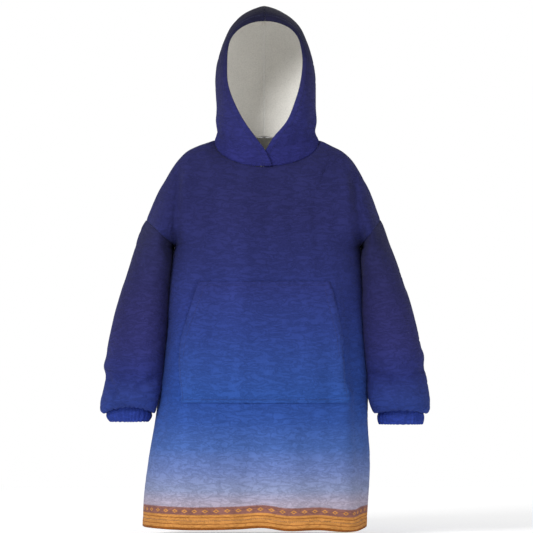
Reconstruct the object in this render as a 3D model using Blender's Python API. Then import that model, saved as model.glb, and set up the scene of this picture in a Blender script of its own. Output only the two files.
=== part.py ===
import bpy
import numpy as np

# Wearable blanket hoodie, hung open on a general figure that is not there.
# Metres, +Z up, the front faces -Y, and +X is the wearer's left.
# Zero is the middle of the neck at shoulder height.

for oldObject in list(bpy.data.objects):
    bpy.data.objects.remove(oldObject, do_unlink=True)

wall = 0.003            # face cloth and fleece together
liningWall = 0.0016     # hood lining
liningGap = 0.0003      # between the hood and its lining
seamBack = 0.00017      # each piece stops this far short of a seam
lapShift = 0.0045       # how far the two hood fronts part where they lap
pocketWall = 0.0026
pocketGap = 0.0003      # pocket off the front along its sewn edges
pocketLift = 0.0034     # how far a hand opening stands off the front

armpitHeight = -0.247
armpitReach = (0.2105, 0.2275)   # wearer's right, wearer's left
shoulderTipReach = (0.2805, 0.2775)
shoulderTipHeight = -0.185
armholeDepth = 0.100
armholeTaper = 1.15     # above 1 the armhole is pointed at the armpit
neckHalfWidth = (0.118, 0.131)
neckSideHeight = 0.003
neckFront = (-0.075, -0.059)     # y, z of the front neck point
neckBack = (0.065, 0.012)        # y, z of the nape

shoulderColumns = 7     # grid columns along one shoulder seam
neckColumns = 5         # grid columns along a quarter of the neck
yokeRows = 9            # grid rows along half an armhole
frontCorner = (2.5, 2.3)         # squareness of the front at the wearer's right, left
backCorner = (3.0, 3.0)
backSwell = 0.012        # the back's sides stand out behind the sleeves

# height, reach to the wearer's right, reach to the left, front depth, back depth
torsoRings = (
    (-0.910, 0.287, 0.243, 0.190, 0.172),
    (-0.848, 0.285, 0.247, 0.187, 0.170),
    (-0.754, 0.274, 0.251, 0.183, 0.166),
    (-0.659, 0.258, 0.246, 0.179, 0.162),
    (-0.564, 0.246, 0.247, 0.174, 0.159),
    (-0.446, 0.235, 0.240, 0.168, 0.155),
    (-0.374, 0.230, 0.239, 0.163, 0.153),
    (-0.303, 0.224, 0.237, 0.156, 0.150),
    (-0.272, 0.2175, 0.2335, 0.152, 0.148),
    (armpitHeight, armpitReach[0], armpitReach[1], 0.148, 0.146),
)

# height, x of the grid line that the pocket's right edge follows, and its left edge
pocketLines = (
    (-0.910, -0.212, 0.196),
    (-0.760, -0.203, 0.192),
    (-0.614, -0.193, 0.188),
    (-0.507, -0.200, 0.185),
    (-0.331, -0.153, 0.153),
    (-0.290, -0.146, 0.147),
    (armpitHeight, -0.140, 0.140),
)
pocketTop = -0.331
pocketBottom = -0.614
handOpeningBottom = -0.507

# reach right, reach left, height along the shoulder from its tip to the neck
shoulderLine = (
    (shoulderTipReach[0], shoulderTipReach[1], shoulderTipHeight),
    (0.2705, 0.2685, -0.161),
    (0.2605, 0.2600, -0.137),
    (0.2495, 0.2505, -0.114),
    (0.2350, 0.2375, -0.090),
    (0.2205, 0.2240, -0.066),
    (0.2030, 0.2070, -0.043),
    (0.1760, 0.1775, -0.0195),
    (0.1470, 0.1500, -0.0065),
    (neckHalfWidth[0], neckHalfWidth[1], 0.003),
)

# outer height, inner height, outer reach right, left, inner reach right, left,
# half depth, middle y
sleeveRings = (
    (-0.210, -0.265, 0.2930, 0.2870, 0.2195, 0.2355, 0.102, 0.000),
    (-0.240, -0.285, 0.3030, 0.2975, 0.2275, 0.2410, 0.104, 0.000),
    (-0.272, -0.302, 0.3125, 0.3100, 0.2320, 0.2440, 0.104, -0.001),
    (-0.303, -0.323, 0.3220, 0.3210, 0.2350, 0.2455, 0.103, -0.002),
    (-0.338, -0.350, 0.334, 0.333, 0.2370, 0.2455, 0.101, -0.004),
    (-0.374, -0.380, 0.345, 0.345, 0.2380, 0.2450, 0.098, -0.006),
    (-0.410, -0.412, 0.355, 0.355, 0.2395, 0.2450, 0.094, -0.008),
    (-0.446, -0.446, 0.363, 0.364, 0.2415, 0.2460, 0.090, -0.010),
    (-0.478, -0.478, 0.3695, 0.3705, 0.2445, 0.2480, 0.087, -0.012),
    (-0.506, -0.506, 0.3735, 0.3790, 0.2475, 0.2505, 0.084, -0.014),
    (-0.531, -0.531, 0.3795, 0.3785, 0.2490, 0.2535, 0.079, -0.015),
    (-0.554, -0.555, 0.3755, 0.3845, 0.2520, 0.2560, 0.077, -0.016),
    (-0.578, -0.578, 0.3790, 0.3885, 0.2530, 0.2545, 0.080, -0.017),
    (-0.602, -0.602, 0.3850, 0.3925, 0.2555, 0.2535, 0.079, -0.018),
    (-0.623, -0.622, 0.3880, 0.3935, 0.2570, 0.2555, 0.074, -0.019),
    (-0.636, -0.635, 0.3865, 0.3915, 0.2580, 0.2580, 0.066, -0.020),
    (-0.642, -0.641, 0.3800, 0.3850, 0.2600, 0.2625, 0.056, -0.020),
)
sleeveTurn = 0.034      # how far the inner front of a sleeve is swung in, and the back out
cuffSeam = (-0.640, 0.0535, 0.045)       # height, half width, half depth
cuffMiddle = (-0.319, 0.3235)
# drop below the cuff seam, half width right, half width left, half depth
cuffRings = (
    (-0.006, 0.0540, 0.0545, 0.0460),
    (-0.012, 0.0530, 0.0545, 0.0460),
    (-0.018, 0.0500, 0.0535, 0.0450),
    (-0.024, 0.0450, 0.0515, 0.0430),
)

# opening edge: x right, x left, y, z; side: x right, x left, y, z; back seam: y, z
hoodRows = (
    (0.018, -0.018, -0.0755, -0.0585, neckHalfWidth[0], neckHalfWidth[1], 0.000, 0.003, 0.065, 0.012),
    (0.003, 0.005, -0.0880, -0.0225, 0.1115, 0.1215, 0.002, 0.024, 0.078, 0.035),
    (-0.021, 0.024, -0.0930, 0.010, 0.1145, 0.1250, 0.004, 0.050, 0.096, 0.062),
    (-0.048, 0.055, -0.0925, 0.048, 0.1125, 0.1230, 0.008, 0.080, 0.118, 0.092),
    (-0.071, 0.0735, -0.0885, 0.092, 0.1145, 0.1230, 0.012, 0.114, 0.138, 0.126),
    (-0.086, 0.0865, -0.0835, 0.1375, 0.1160, 0.1230, 0.015, 0.147, 0.152, 0.160),
    (-0.088, 0.092, -0.0790, 0.185, 0.1130, 0.1190, 0.018, 0.180, 0.158, 0.194),
    (-0.085, 0.088, -0.0770, 0.222, 0.1060, 0.1120, 0.020, 0.208, 0.158, 0.222),
    (-0.076, 0.080, -0.0765, 0.246, 0.0960, 0.1020, 0.022, 0.238, 0.153, 0.245),
    (-0.058, 0.063, -0.0770, 0.266, 0.0800, 0.0860, 0.025, 0.2725, 0.145, 0.263),
    (-0.036, 0.040, -0.0780, 0.278, 0.0560, 0.0600, 0.028, 0.299, 0.136, 0.277),
    (-0.016, 0.019, -0.0785, 0.2835, 0.0290, 0.0310, 0.030, 0.315, 0.128, 0.287),
    (0.003, 0.003, -0.0785, 0.2845, 0.0000, 0.0000, 0.030, 0.325, 0.121, 0.293),
)

# Soft ridges and troughs: front or back, x and z at the top, x and z at the foot,
# half width, height (a trough is negative).
bodyFolds = (
    ("front", 0.157, -0.345, 0.188, -0.600, 0.022, 0.0085),
    ("front", 0.188, -0.600, 0.203, -0.900, 0.024, 0.0115),
    ("front", 0.205, -0.380, 0.232, -0.880, 0.024, -0.0070),
    ("front", -0.205, -0.070, -0.209, -0.225, 0.014, -0.0085),
    ("front", 0.215, -0.085, 0.229, -0.220, 0.014, -0.0085),
    ("front", -0.184, -0.090, -0.187, -0.240, 0.014, 0.0035),
    ("front", 0.194, -0.100, 0.206, -0.240, 0.014, 0.0035),
    ("front", -0.120, -0.640, -0.150, -0.900, 0.030, 0.0060),
    ("front", -0.040, -0.700, -0.046, -0.905, 0.026, -0.0060),
    ("front", 0.060, -0.660, 0.075, -0.905, 0.028, 0.0055),
    ("front", -0.100, -0.120, -0.110, -0.310, 0.018, -0.0025),
    ("front", 0.060, -0.100, 0.075, -0.300, 0.016, -0.0025),
    ("back", 0.150, -0.330, 0.200, -0.890, 0.026, 0.0095),
    ("back", -0.140, -0.420, -0.190, -0.890, 0.028, 0.0100),
    ("back", 0.020, -0.500, 0.010, -0.900, 0.034, -0.0080),
    ("back", -0.060, -0.060, -0.080, -0.330, 0.022, -0.0030),
    ("back", 0.070, -0.070, 0.100, -0.360, 0.022, 0.0030),
)
# x, drop of the hem below its usual height
hemWave = ((-0.29, -0.002), (-0.18, 0.001), (-0.06, -0.002), (0.00, -0.005), (0.05, 0.002),
           (0.13, 0.001), (0.21, 0.007), (0.26, -0.004))


def smoothStep(value):
    t = np.clip(value, 0.0, 1.0)
    return t * t * (3.0 - 2.0 * t)


def smoothTable(table, at):
    """Rows of a table read at any value of its first column, as a smooth curve."""
    rows = np.array(table, dtype=float)
    if rows[0, 0] > rows[-1, 0]:
        rows = rows[::-1]
    keys = rows[:, 0]
    at = float(np.clip(at, keys[0], keys[-1]))
    k = int(np.clip(np.searchsorted(keys, at) - 1, 0, len(keys) - 2))
    slopes = np.gradient(rows[:, 1:], keys, axis=0)
    span = keys[k + 1] - keys[k]
    t = (at - keys[k]) / span
    a, b = rows[k, 1:], rows[k + 1, 1:]
    ma, mb = slopes[k] * span, slopes[k + 1] * span
    return ((2 * t ** 3 - 3 * t ** 2 + 1) * a + (t ** 3 - 2 * t ** 2 + t) * ma
            + (3 * t ** 2 - 2 * t ** 3) * b + (t ** 3 - t ** 2) * mb)


def spread(points, count):
    """Evenly spaced points along a line of points, smoothed between them."""
    line = np.array(points, dtype=float)
    steps = np.linalg.norm(np.diff(line, axis=0), axis=1)
    along = np.concatenate([[0.0], np.cumsum(steps)])
    table = np.column_stack([along, line])
    return np.array([smoothTable(table, a) for a in np.linspace(0.0, along[-1], count + 1)])


def torsoPoint(side, height, angle, reach, depth):
    """One point of a body ring; the angle runs from the wearer's right seam to the left."""
    corner = frontCorner if side == "front" else backCorner
    across = -np.cos(angle)
    power = corner[0] if across < 0 else corner[1]
    half = reach[0] if across < 0 else reach[1]
    x = np.sign(across) * half * abs(across) ** (2.0 / power)
    y = depth * max(np.sin(angle), 0.0) ** (2.0 / power)
    if side == "back":
        level = smoothStep((armpitHeight - height) / 0.02) * smoothStep((height + 0.75) / 0.1)
        x += np.sign(across) * backSwell * level * np.sin(2.0 * angle) ** 2
    return np.array([x, -y if side == "front" else y, height])


def torsoRow(side, height):
    """The grid's points across one body panel at one height."""
    right, left, front, back = smoothTable(torsoRings, height)
    depth = front if side == "front" else back
    lineRight, lineLeft = smoothTable(pocketLines, height)
    corner = frontCorner if side == "front" else backCorner
    sideColumns = 5
    middle = 2 * (shoulderColumns + neckColumns) - 2 * sideColumns
    first = np.arccos((-lineRight / right) ** (corner[0] / 2.0))
    last = np.pi - np.arccos((lineLeft / left) ** (corner[1] / 2.0))
    angles = list(np.linspace(0.0, first, sideColumns + 1))
    for x in np.linspace(lineRight, lineLeft, middle + 1)[1:-1]:
        if x < 0:
            angles.append(np.arccos((-x / right) ** (corner[0] / 2.0)))
        else:
            angles.append(np.pi - np.arccos((x / left) ** (corner[1] / 2.0)))
    angles += list(np.linspace(last, np.pi, sideColumns + 1))
    return np.array([torsoPoint(side, height, a, (right, left), depth) for a in angles])


def neckPoint(turn):
    """The neck ring: 0 is the front, 1 the wearer's left, 2 the nape, -1 the right."""
    angle = turn * np.pi / 2.0
    y, z = neckFront if np.cos(angle) > 0 else neckBack
    half = neckHalfWidth[0] if np.sin(angle) < 0 else neckHalfWidth[1]
    lean = abs(np.cos(angle))
    height = neckSideHeight + (z - neckSideHeight) * lean
    return np.array([half * np.sin(angle), y * lean, height])


def armholeAlong(t):
    """How far across the armhole a share t of its half length has come."""
    return 0.8 * t + 0.2 * (1.0 - np.cos(np.pi * t)) / 2.0


def armholePoint(hand, side, t):
    """Half an armhole from the armpit (t = 0) to the shoulder tip (t = 1)."""
    reach = armpitReach[0] if hand < 0 else armpitReach[1]
    low = np.array([hand * reach, 0.0, armpitHeight])
    tip = shoulderTipReach[0] if hand < 0 else shoulderTipReach[1]
    high = np.array([hand * tip, 0.0, shoulderTipHeight])
    point = low + (high - low) * armholeAlong(t)
    bulge = armholeDepth * np.sin(np.pi * t) ** armholeTaper
    point[1] = -bulge if side == "front" else bulge
    return point


def yokeTop(side):
    """Shoulder tip, shoulder seam, neck, shoulder seam, shoulder tip."""
    right = spread([(-row[0], 0.0, row[2]) for row in shoulderLine], shoulderColumns)
    left = spread([(row[1], 0.0, row[2]) for row in shoulderLine], shoulderColumns)
    turns = np.linspace(-1.0, 1.0 if side == "front" else -3.0, 2 * neckColumns + 1)
    neck = [neckPoint(turn) for turn in turns]
    return np.array(list(right[:-1]) + neck + list(left[::-1][1:]))


def yokeRow(side, t):
    """The grid's points across the yoke, t from the armpit line (0) to the top (1)."""
    low = torsoRow(side, armpitHeight)
    below = torsoRow(side, armpitHeight - 0.03)
    top = yokeTop(side)
    count = len(low) - 1
    sign = -1.0 if side == "front" else 1.0
    points = []
    for c in range(count + 1):
        chord = np.linalg.norm(top[c] - low[c])
        rise = (low[c] - below[c]) / 0.03 * chord * 1.05
        fromNeck = (c - count / 2.0) / neckColumns
        turn = np.clip(fromNeck, -1.0, 1.0) * np.pi / 2.0
        past = smoothStep((abs(fromNeck) - 1.0) / 0.8)
        level = abs(np.sin(turn))
        toNeck = np.array([-np.sin(turn) * 0.75, -sign * (0.50 + 0.10 * level), 0.86 - 0.76 * level])
        over = np.array([0.0, -sign, 0.0])
        arrive = (toNeck * (1 - past) + over * past) * chord * 0.95
        h = (2 * t ** 3 - 3 * t ** 2 + 1) * low[c] + (t ** 3 - 2 * t ** 2 + t) * rise
        h = h + (3 * t ** 2 - 2 * t ** 3) * top[c] + (t ** 3 - t ** 2) * arrive
        points.append(h)
    points = np.array(points)
    reachOfArm = 6
    for hand, end in ((-1, 0), (1, count)):
        miss = armholePoint(hand, side, t) - points[end]
        for c in range(reachOfArm):
            at = end + c if end == 0 else end - c
            points[at] = points[at] + miss * (1.0 - c / reachOfArm) ** 1.6
    return points


def bodyHeights():
    """Heights of the grid rows from the hem to just below the armpit line."""
    pocketPart = np.linspace(pocketBottom, pocketTop, 9)
    lowPart = np.linspace(torsoRings[0][0], pocketBottom, 9)
    highPart = np.linspace(pocketTop, armpitHeight, 4)
    return list(lowPart[:-1]) + list(pocketPart[:-1]) + list(highPart[:-1])


def bodyGrid(side):
    """All the points of the front or the back, from the hem row to the top row."""
    rows = []
    for height in bodyHeights():
        row = torsoRow(side, height)
        fade = smoothStep((height - torsoRings[0][0]) / 0.22)
        for point in row:
            point[2] -= smoothTable(hemWave, point[0])[0] * (1.0 - fade)
        rows.append(row)
    for t in np.linspace(0.0, 1.0, yokeRows + 1):
        rows.append(yokeRow(side, t))
    return np.array(rows)


def sleeveRing(outer, inner, halfDepth, middleY, roundness, turned=0.0):
    """A sleeve ring from the armpit line round the front, the top and the back."""
    points = []
    for j in range(2 * yokeRows):
        front = j <= yokeRows
        t = j / yokeRows if front else (2 * yokeRows - j) / yokeRows
        plain = armholeAlong(t)
        along = plain + ((1.0 - np.cos(np.pi * t)) / 2.0 - plain) * roundness
        point = inner + (outer - inner) * along
        taper = armholeTaper + (1.0 - armholeTaper) * roundness
        bulge = halfDepth * np.sin(np.pi * t) ** taper
        point[1] = middleY + (-bulge if front else bulge)
        point[0] += turned * (1.0 - along) * (-bulge if front else bulge) / halfDepth
        points.append(point)
    return np.array(points)


def sleeveGrid(hand):
    """Rings from the armhole down to the cuff seam."""
    front = [armholePoint(hand, "front", j / yokeRows) for j in range(yokeRows + 1)]
    back = [armholePoint(hand, "back", j / yokeRows) for j in range(yokeRows - 1, 0, -1)]
    rings = [np.array(front + back)]
    column = 0 if hand < 0 else 1
    for k, ring in enumerate(sleeveRings):
        outer = np.array([hand * ring[2 + column], 0.0, ring[0]])
        inner = np.array([hand * ring[4 + column], 0.0, ring[1]])
        roundness = smoothStep((k + 1) / 4.0)
        turned = sleeveTurn * smoothStep((k + 1) / 2.5) * smoothStep((len(sleeveRings) - k) / 4.0)
        rings.append(sleeveRing(outer, inner, ring[6], ring[7], roundness, turned * hand))
    rings.append(cuffRing(hand, 0.0, cuffSeam[1], cuffSeam[2]))
    return np.array(rings)


def cuffRing(hand, drop, halfWidth, halfDepth):
    middle = cuffMiddle[0] if hand < 0 else cuffMiddle[1]
    height = cuffSeam[0] + drop * (1.15 if hand > 0 else 0.9)
    outer = np.array([middle + hand * halfWidth, 0.0, height])
    inner = np.array([middle - hand * halfWidth, 0.0, height])
    return sleeveRing(outer, inner, halfDepth, -0.020, 1.0)


def cuffGrid(hand):
    rings = [cuffRing(hand, 0.0, cuffSeam[1], cuffSeam[2])]
    for drop, halfRight, halfLeft, halfDepth in cuffRings:
        rings.append(cuffRing(hand, drop, halfRight if hand < 0 else halfLeft, halfDepth))
    return np.array(rings)


def hoodGrid(hand):
    """Half a hood: rows from the neck to the crown seam, columns from the opening back."""
    past = neckHalfWidth[1] if hand < 0 else neckHalfWidth[0]
    edgeTurn = np.arcsin(abs(hoodRows[0][0]) / past)
    turns = np.concatenate([[-edgeTurn], np.linspace(0.0, np.pi / 2.0, neckColumns + 1)])
    neckShare = (np.sin(turns) + np.sin(edgeTurn)) / (1.0 + np.sin(edgeTurn))
    rows = []
    last = len(hoodRows) - 1
    for r, row in enumerate(hoodRows):
        edgeX = row[0] if hand < 0 else row[1]
        edge = np.array([edgeX, row[2], row[3]])
        side = np.array([hand * (row[4] if hand < 0 else row[5]), row[6], row[7]])
        back = np.array([0.0, row[8], row[9]])
        atNeck = 1.0 - smoothStep(r / 3.0)
        arch = smoothStep(r / last)
        points = []
        for c in range(neckColumns + 2):
            s = c / (neckColumns + 1) * np.pi / 2.0
            share = np.sin(s) + (neckShare[c] - np.sin(s)) * atNeck
            fall = 1.0 - np.cos(s)
            point = edge + (side - edge) * np.array([share, fall, fall + (np.sin(s) - fall) * arch])
            if r == 0:
                point = neckPoint(hand * turns[c] * 2.0 / np.pi)
                point[2] += 0.0016 if c == 0 else 0.0    # the lapped end clears the seam below
            points.append(point)
        for c in range(1, neckColumns + 1):
            s = c / neckColumns * np.pi / 2.0
            turn = 1.0 - np.cos(s)
            lift = np.sin(s) + (turn - np.sin(s)) * arch
            point = side + (back - side) * np.array([turn, np.sin(s), lift])
            points.append(point)
        rows.append(points)
    return np.array(rows)


def foldHeight(point):
    """How far the hand-placed folds move a point of the body out."""
    total = 0.0
    for side, x0, z0, x1, z1, width, height in bodyFolds:
        facing = -point[1] if side == "front" else point[1]
        weight = smoothStep((facing - 0.02) / 0.06)
        if weight <= 0.0:
            continue
        a, b = np.array([x0, z0]), np.array([x1, z1])
        p = np.array([point[0], point[2]])
        t = np.clip(np.dot(p - a, b - a) / np.dot(b - a, b - a), 0.0, 1.0)
        gap = np.linalg.norm(p - a - (b - a) * t)
        total += weight * height * np.exp(-(gap / width) ** 2)
    return total


def gridFaces(grid, closed):
    """Two triangles for each cell of a grid, as index pairs."""
    rows, columns = grid.shape[:2]
    faces = []
    for i in range(rows - 1):
        for j in range(columns if closed else columns - 1):
            k = (j + 1) % columns
            faces.append(((i, j), (i, k), (i + 1, k)))
            faces.append(((i, j), (i + 1, k), (i + 1, j)))
    return faces


def placeKey(point):
    return tuple(np.round(point, 6) + 0.0)


def seamKey(panel, point):
    """The place of a point; at an armpit, where cloth folds back, each group keeps its own."""
    key = placeKey(point)
    for hand, reach in ((-1, armpitReach[0]), (1, armpitReach[1])):
        if key == placeKey(np.array([hand * reach, 0.0, armpitHeight])):
            return (panel["group"],) + key
    return key


def faceNormals(grid, closed, turned):
    found = []
    for face in gridFaces(grid, closed):
        a, b, c = (grid[corner] for corner in face)
        normal = np.cross(b - a, c - a)
        found.append((face, -normal if turned else normal))
    return found


def sharedNormals(panels):
    """One outward direction for each place, shared by the pieces that are sewn there."""
    sums = {}
    for group in ("body", "sleeve", "cuff", "hood"):
        own = {}
        for panel in panels:
            if panel["group"] != group:
                continue
            for face, normal in faceNormals(panel["grid"], panel["closed"], panel["turned"]):
                unit = normal / max(np.linalg.norm(normal), 1e-12)
                for corner in face:
                    key = seamKey(panel, panel["grid"][corner])
                    own[key] = own.get(key, np.zeros(3)) + unit
        for key, total in own.items():
            unit = total / max(np.linalg.norm(total), 1e-12)
            sums[key] = sums.get(key, np.zeros(3)) + unit
    stretches = {}
    for panel in panels:
        grid = panel["grid"]
        panel["normals"] = np.zeros_like(grid)
        for index in np.ndindex(grid.shape[:2]):
            total = sums[seamKey(panel, grid[index])]
            panel["normals"][index] = total / max(np.linalg.norm(total), 1e-12)
        for face, normal in faceNormals(grid, panel["closed"], panel["turned"]):
            unit = normal / max(np.linalg.norm(normal), 1e-12)
            for corner in face:
                lean = max(np.dot(unit, panel["normals"][corner]), 0.72)
                key = seamKey(panel, grid[corner])
                stretches[key] = max(stretches.get(key, 1.0), 1.0 / lean)
    for panel in panels:
        panel["stretch"] = np.ones(panel["grid"].shape[:2])
        for index in np.ndindex(panel["stretch"].shape):
            panel["stretch"][index] = stretches[seamKey(panel, panel["grid"][index])]


def layer(panel, depth):
    """The panel's points moved in by a depth (out when negative)."""
    return panel["grid"] - panel["normals"] * (panel["stretch"] * depth)[..., None]


def pullBack(grid, edges):
    """Moves a grid's edges in by a small amount so that sewn pieces don't touch."""
    rows, columns = grid.shape[:2]
    pulled = grid.copy()
    downs = np.zeros(rows)
    downs[0] = edges.get("foot", 0.0)
    downs[-1] = -edges.get("top", 0.0)
    alongs = np.zeros(columns)
    alongs[0] = edges.get("start", 0.0)
    alongs[-1] = -edges.get("end", 0.0)
    for i in range(rows):
        for j in range(columns):
            down = downs[i]
            along = alongs[j]
            if down == 0.0 and along == 0.0:
                continue
            up = -1 if i == edges.get("armpit") else int(np.sign(down))
            way = grid[i + up, j + int(np.sign(along))] - grid[i, j]
            amount = max(abs(down), abs(along)) * (1.5 if up and along else 1.0)
            if i == edges.get("armpit"):
                amount *= 2.0    # three pieces meet there
            pulled[i, j] += way / max(np.linalg.norm(way), 1e-9) * amount
    return pulled


def makeMaterial(name, colour, roughness):
    material = bpy.data.materials.new(name)
    material.use_nodes = True
    shader = material.node_tree.nodes["Principled BSDF"]
    shader.inputs["Base Color"].default_value = (*colour, 1.0)
    shader.inputs["Roughness"].default_value = roughness
    shader.inputs["Metallic"].default_value = 0.0
    material.diffuse_color = (*colour, 1.0)
    return material


def wallSolid(name, outer, inner, closed, turned, material, guide=None):
    """A closed body between two grids of the same size."""
    guide = outer if guide is None else guide
    rows, columns = outer.shape[:2]
    size = rows * columns
    points = [tuple(p) for p in outer.reshape(-1, 3)] + [tuple(p) for p in inner.reshape(-1, 3)]

    def at(corner, deep=False):
        return corner[0] * columns + corner[1] + (size if deep else 0)

    faces = []
    for face in gridFaces(outer, closed):
        front = [at(corner) for corner in face]
        back = [at(corner, True) for corner in face]
        faces.append(front[::-1] if turned else front)
        faces.append(back if turned else back[::-1])
    rim = []
    around = columns if closed else columns - 1
    for j in range(around):
        k = (j + 1) % columns
        rim.append(((0, k), (0, j)))
        rim.append(((rows - 1, j), (rows - 1, k)))
    if not closed:
        for i in range(rows - 1):
            rim.append(((i, 0), (i + 1, 0)))
            rim.append(((i + 1, columns - 1), (i, columns - 1)))
    # Both sides of a seam split their edge cells the same way, so they stay apart.
    slant = np.array([1.0, 2.3, 3.7])
    for a, b in rim:
        if np.dot(guide[a], slant) < np.dot(guide[b], slant):
            pair = [[at(a), at(b), at(b, True)], [at(a), at(b, True), at(a, True)]]
        else:
            pair = [[at(a), at(b), at(a, True)], [at(b), at(b, True), at(a, True)]]
        faces += [triangle[::-1] if turned else triangle for triangle in pair]
    mesh = bpy.data.meshes.new(name)
    mesh.from_pydata(points, [], faces)
    mesh.validate()
    for polygon in mesh.polygons:
        polygon.use_smooth = True
    mesh.materials.append(material)
    thing = bpy.data.objects.new(name, mesh)
    bpy.context.scene.collection.objects.link(thing)
    return thing


def makePanel(name, grid, closed=False, seams=None, free=None):
    """Notes a piece's grid, its sewn edges and which way its cells face."""
    panel = {"name": name, "grid": grid, "closed": closed}
    panel["group"] = "body" if name in ("front", "back") else name.split("_")[0]
    panel["edges"] = {edge: seamBack for edge in (seams or ())}
    panel["edges"].update(free or {})
    middle = grid.reshape(-1, 3).mean(axis=0)
    if not closed and name.startswith(("front", "back")):
        middle = np.array([0.0, 0.0, middle[2]])
    if name.startswith("hood"):
        middle = np.array([0.0, 0.03, 0.12])
    total = 0.0
    for face, normal in faceNormals(grid, closed, False):
        centre = sum(grid[corner] for corner in face) / 3.0
        away = centre - middle
        if closed:
            ring = grid[face[0][0]].mean(axis=0)
            away = centre - ring
        total += np.dot(normal, away)
    panel["turned"] = total < 0
    return panel


def buildWall(panel, thickness, material, depth=0.0, edges=None, name=None):
    edges = panel["edges"] if edges is None else edges
    outer = pullBack(layer(panel, depth), edges)
    inner = pullBack(layer(panel, depth + thickness), edges)
    return wallSolid(name or panel["name"], outer, inner, panel["closed"], panel["turned"],
                     material, panel["grid"])


navy = (0.024, 0.025, 0.095)
indigo = (0.022, 0.045, 0.190)
deepNavy = (0.021, 0.022, 0.075)
paleFleece = (0.43, 0.42, 0.40)

clothBody = makeMaterial("body cloth", navy, 0.93)
clothPocket = makeMaterial("pocket cloth", indigo, 0.93)
clothSleeve = makeMaterial("sleeve cloth", (0.023, 0.027, 0.120), 0.93)
clothCuff = makeMaterial("cuff cloth", (0.020, 0.040, 0.170), 0.93)
clothHood = makeMaterial("hood cloth", deepNavy, 0.93)
clothLining = makeMaterial("hood lining", paleFleece, 0.95)

armpitRow = len(bodyHeights())
front = makePanel("front", bodyGrid("front"), seams=("top", "start", "end"))
back = makePanel("back", bodyGrid("back"), seams=("top", "start", "end"))
front["edges"]["armpit"] = armpitRow
back["edges"]["armpit"] = armpitRow
sleeves = {}
cuffs = {}
hoods = {}
for hand, word in ((-1, "right"), (1, "left")):
    sleeves[word] = makePanel("sleeve_" + word, sleeveGrid(hand), closed=True, seams=("foot", "top"))
    cuffs[word] = makePanel("cuff_" + word, cuffGrid(hand), closed=True, seams=("foot",))
    hoods[word] = makePanel("hood_" + word, hoodGrid(hand), seams=("foot", "top", "end"))
sewn = [front, back] + list(sleeves.values()) + list(cuffs.values()) + list(hoods.values())

sharedNormals(sewn)
for panel in (front, back):
    heights = np.zeros(panel["grid"].shape[:2])
    for i, j in np.ndindex(heights.shape):
        fromSeam = min(j, heights.shape[1] - 1 - j) / 2.5
        fromTop = (heights.shape[0] - 1 - i) / 2.0
        fade = smoothStep(fromSeam) * smoothStep(fromTop)
        heights[i, j] = foldHeight(panel["grid"][i, j]) * fade
    panel["grid"] = panel["grid"] + panel["normals"] * heights[..., None]
sharedNormals(sewn)

# The wearer's right hood front laps over the left one.
lapColumns = (1.0, 1.0, 1.0, 0.5, 0.15)
lapRows = (1.0, 1.0, 0.55, 0.15)
for word, way in (("right", 1.0), ("left", -1.0)):
    hood = hoods[word]
    hood["normals"][0, 0] = hood["normals"][0, 1]
    hood["stretch"][0, 0] = hood["stretch"][0, 1]
    for r, rowShare in enumerate(lapRows):
        for c, columnShare in enumerate(lapColumns):
            step = way * lapShift * rowShare * columnShare
            hood["grid"][r, c] += hood["normals"][r, c] * step

buildWall(front, wall, clothBody)
buildWall(back, wall, clothBody)
for word in ("right", "left"):
    buildWall(sleeves[word], wall, clothSleeve)
    buildWall(cuffs[word], wall, clothCuff)
    buildWall(hoods[word], wall, clothHood)
    liningEdges = {"foot": seamBack, "top": seamBack, "end": seamBack, "start": 0.0006}
    buildWall(hoods[word], liningWall, clothLining, wall + liningGap, liningEdges,
              "hood_lining_" + word)

# The pocket is made from the front's own points, moved out.
heights = bodyHeights()
firstRow = int(np.argmin([abs(h - pocketBottom) for h in heights]))
lastRow = int(np.argmin([abs(h - pocketTop) for h in heights]))
firstColumn = 5
lastColumn = 2 * (shoulderColumns + neckColumns) - 5
rowsIn = slice(firstRow, lastRow + 1)
columnsIn = slice(firstColumn, lastColumn + 1)
pocket = {"name": "pocket", "closed": False, "turned": front["turned"], "edges": {}}
pocket["grid"] = front["grid"][rowsIn, columnsIn]
pocket["normals"] = front["normals"][rowsIn, columnsIn]
pocket["stretch"] = np.ones(pocket["grid"].shape[:2])
lift = np.zeros(pocket["grid"].shape[:2])
for i in range(lift.shape[0]):
    height = heights[firstRow + i]
    openPart = smoothStep((height - handOpeningBottom) / 0.05)
    openPart *= smoothStep((pocketTop - height) / 0.03)
    for j in range(lift.shape[1]):
        fromEdge = min(j, lift.shape[1] - 1 - j)
        lift[i, j] = pocketLift * openPart * max(0.0, 1.0 - fromEdge / 3.0)
pocketInner = pocket["grid"] + pocket["normals"] * (pocketGap + lift)[..., None]
pocketOuter = pocketInner + pocket["normals"] * pocketWall
wallSolid("pocket", pocketOuter, pocketInner, False, pocket["turned"], clothPocket)
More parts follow.
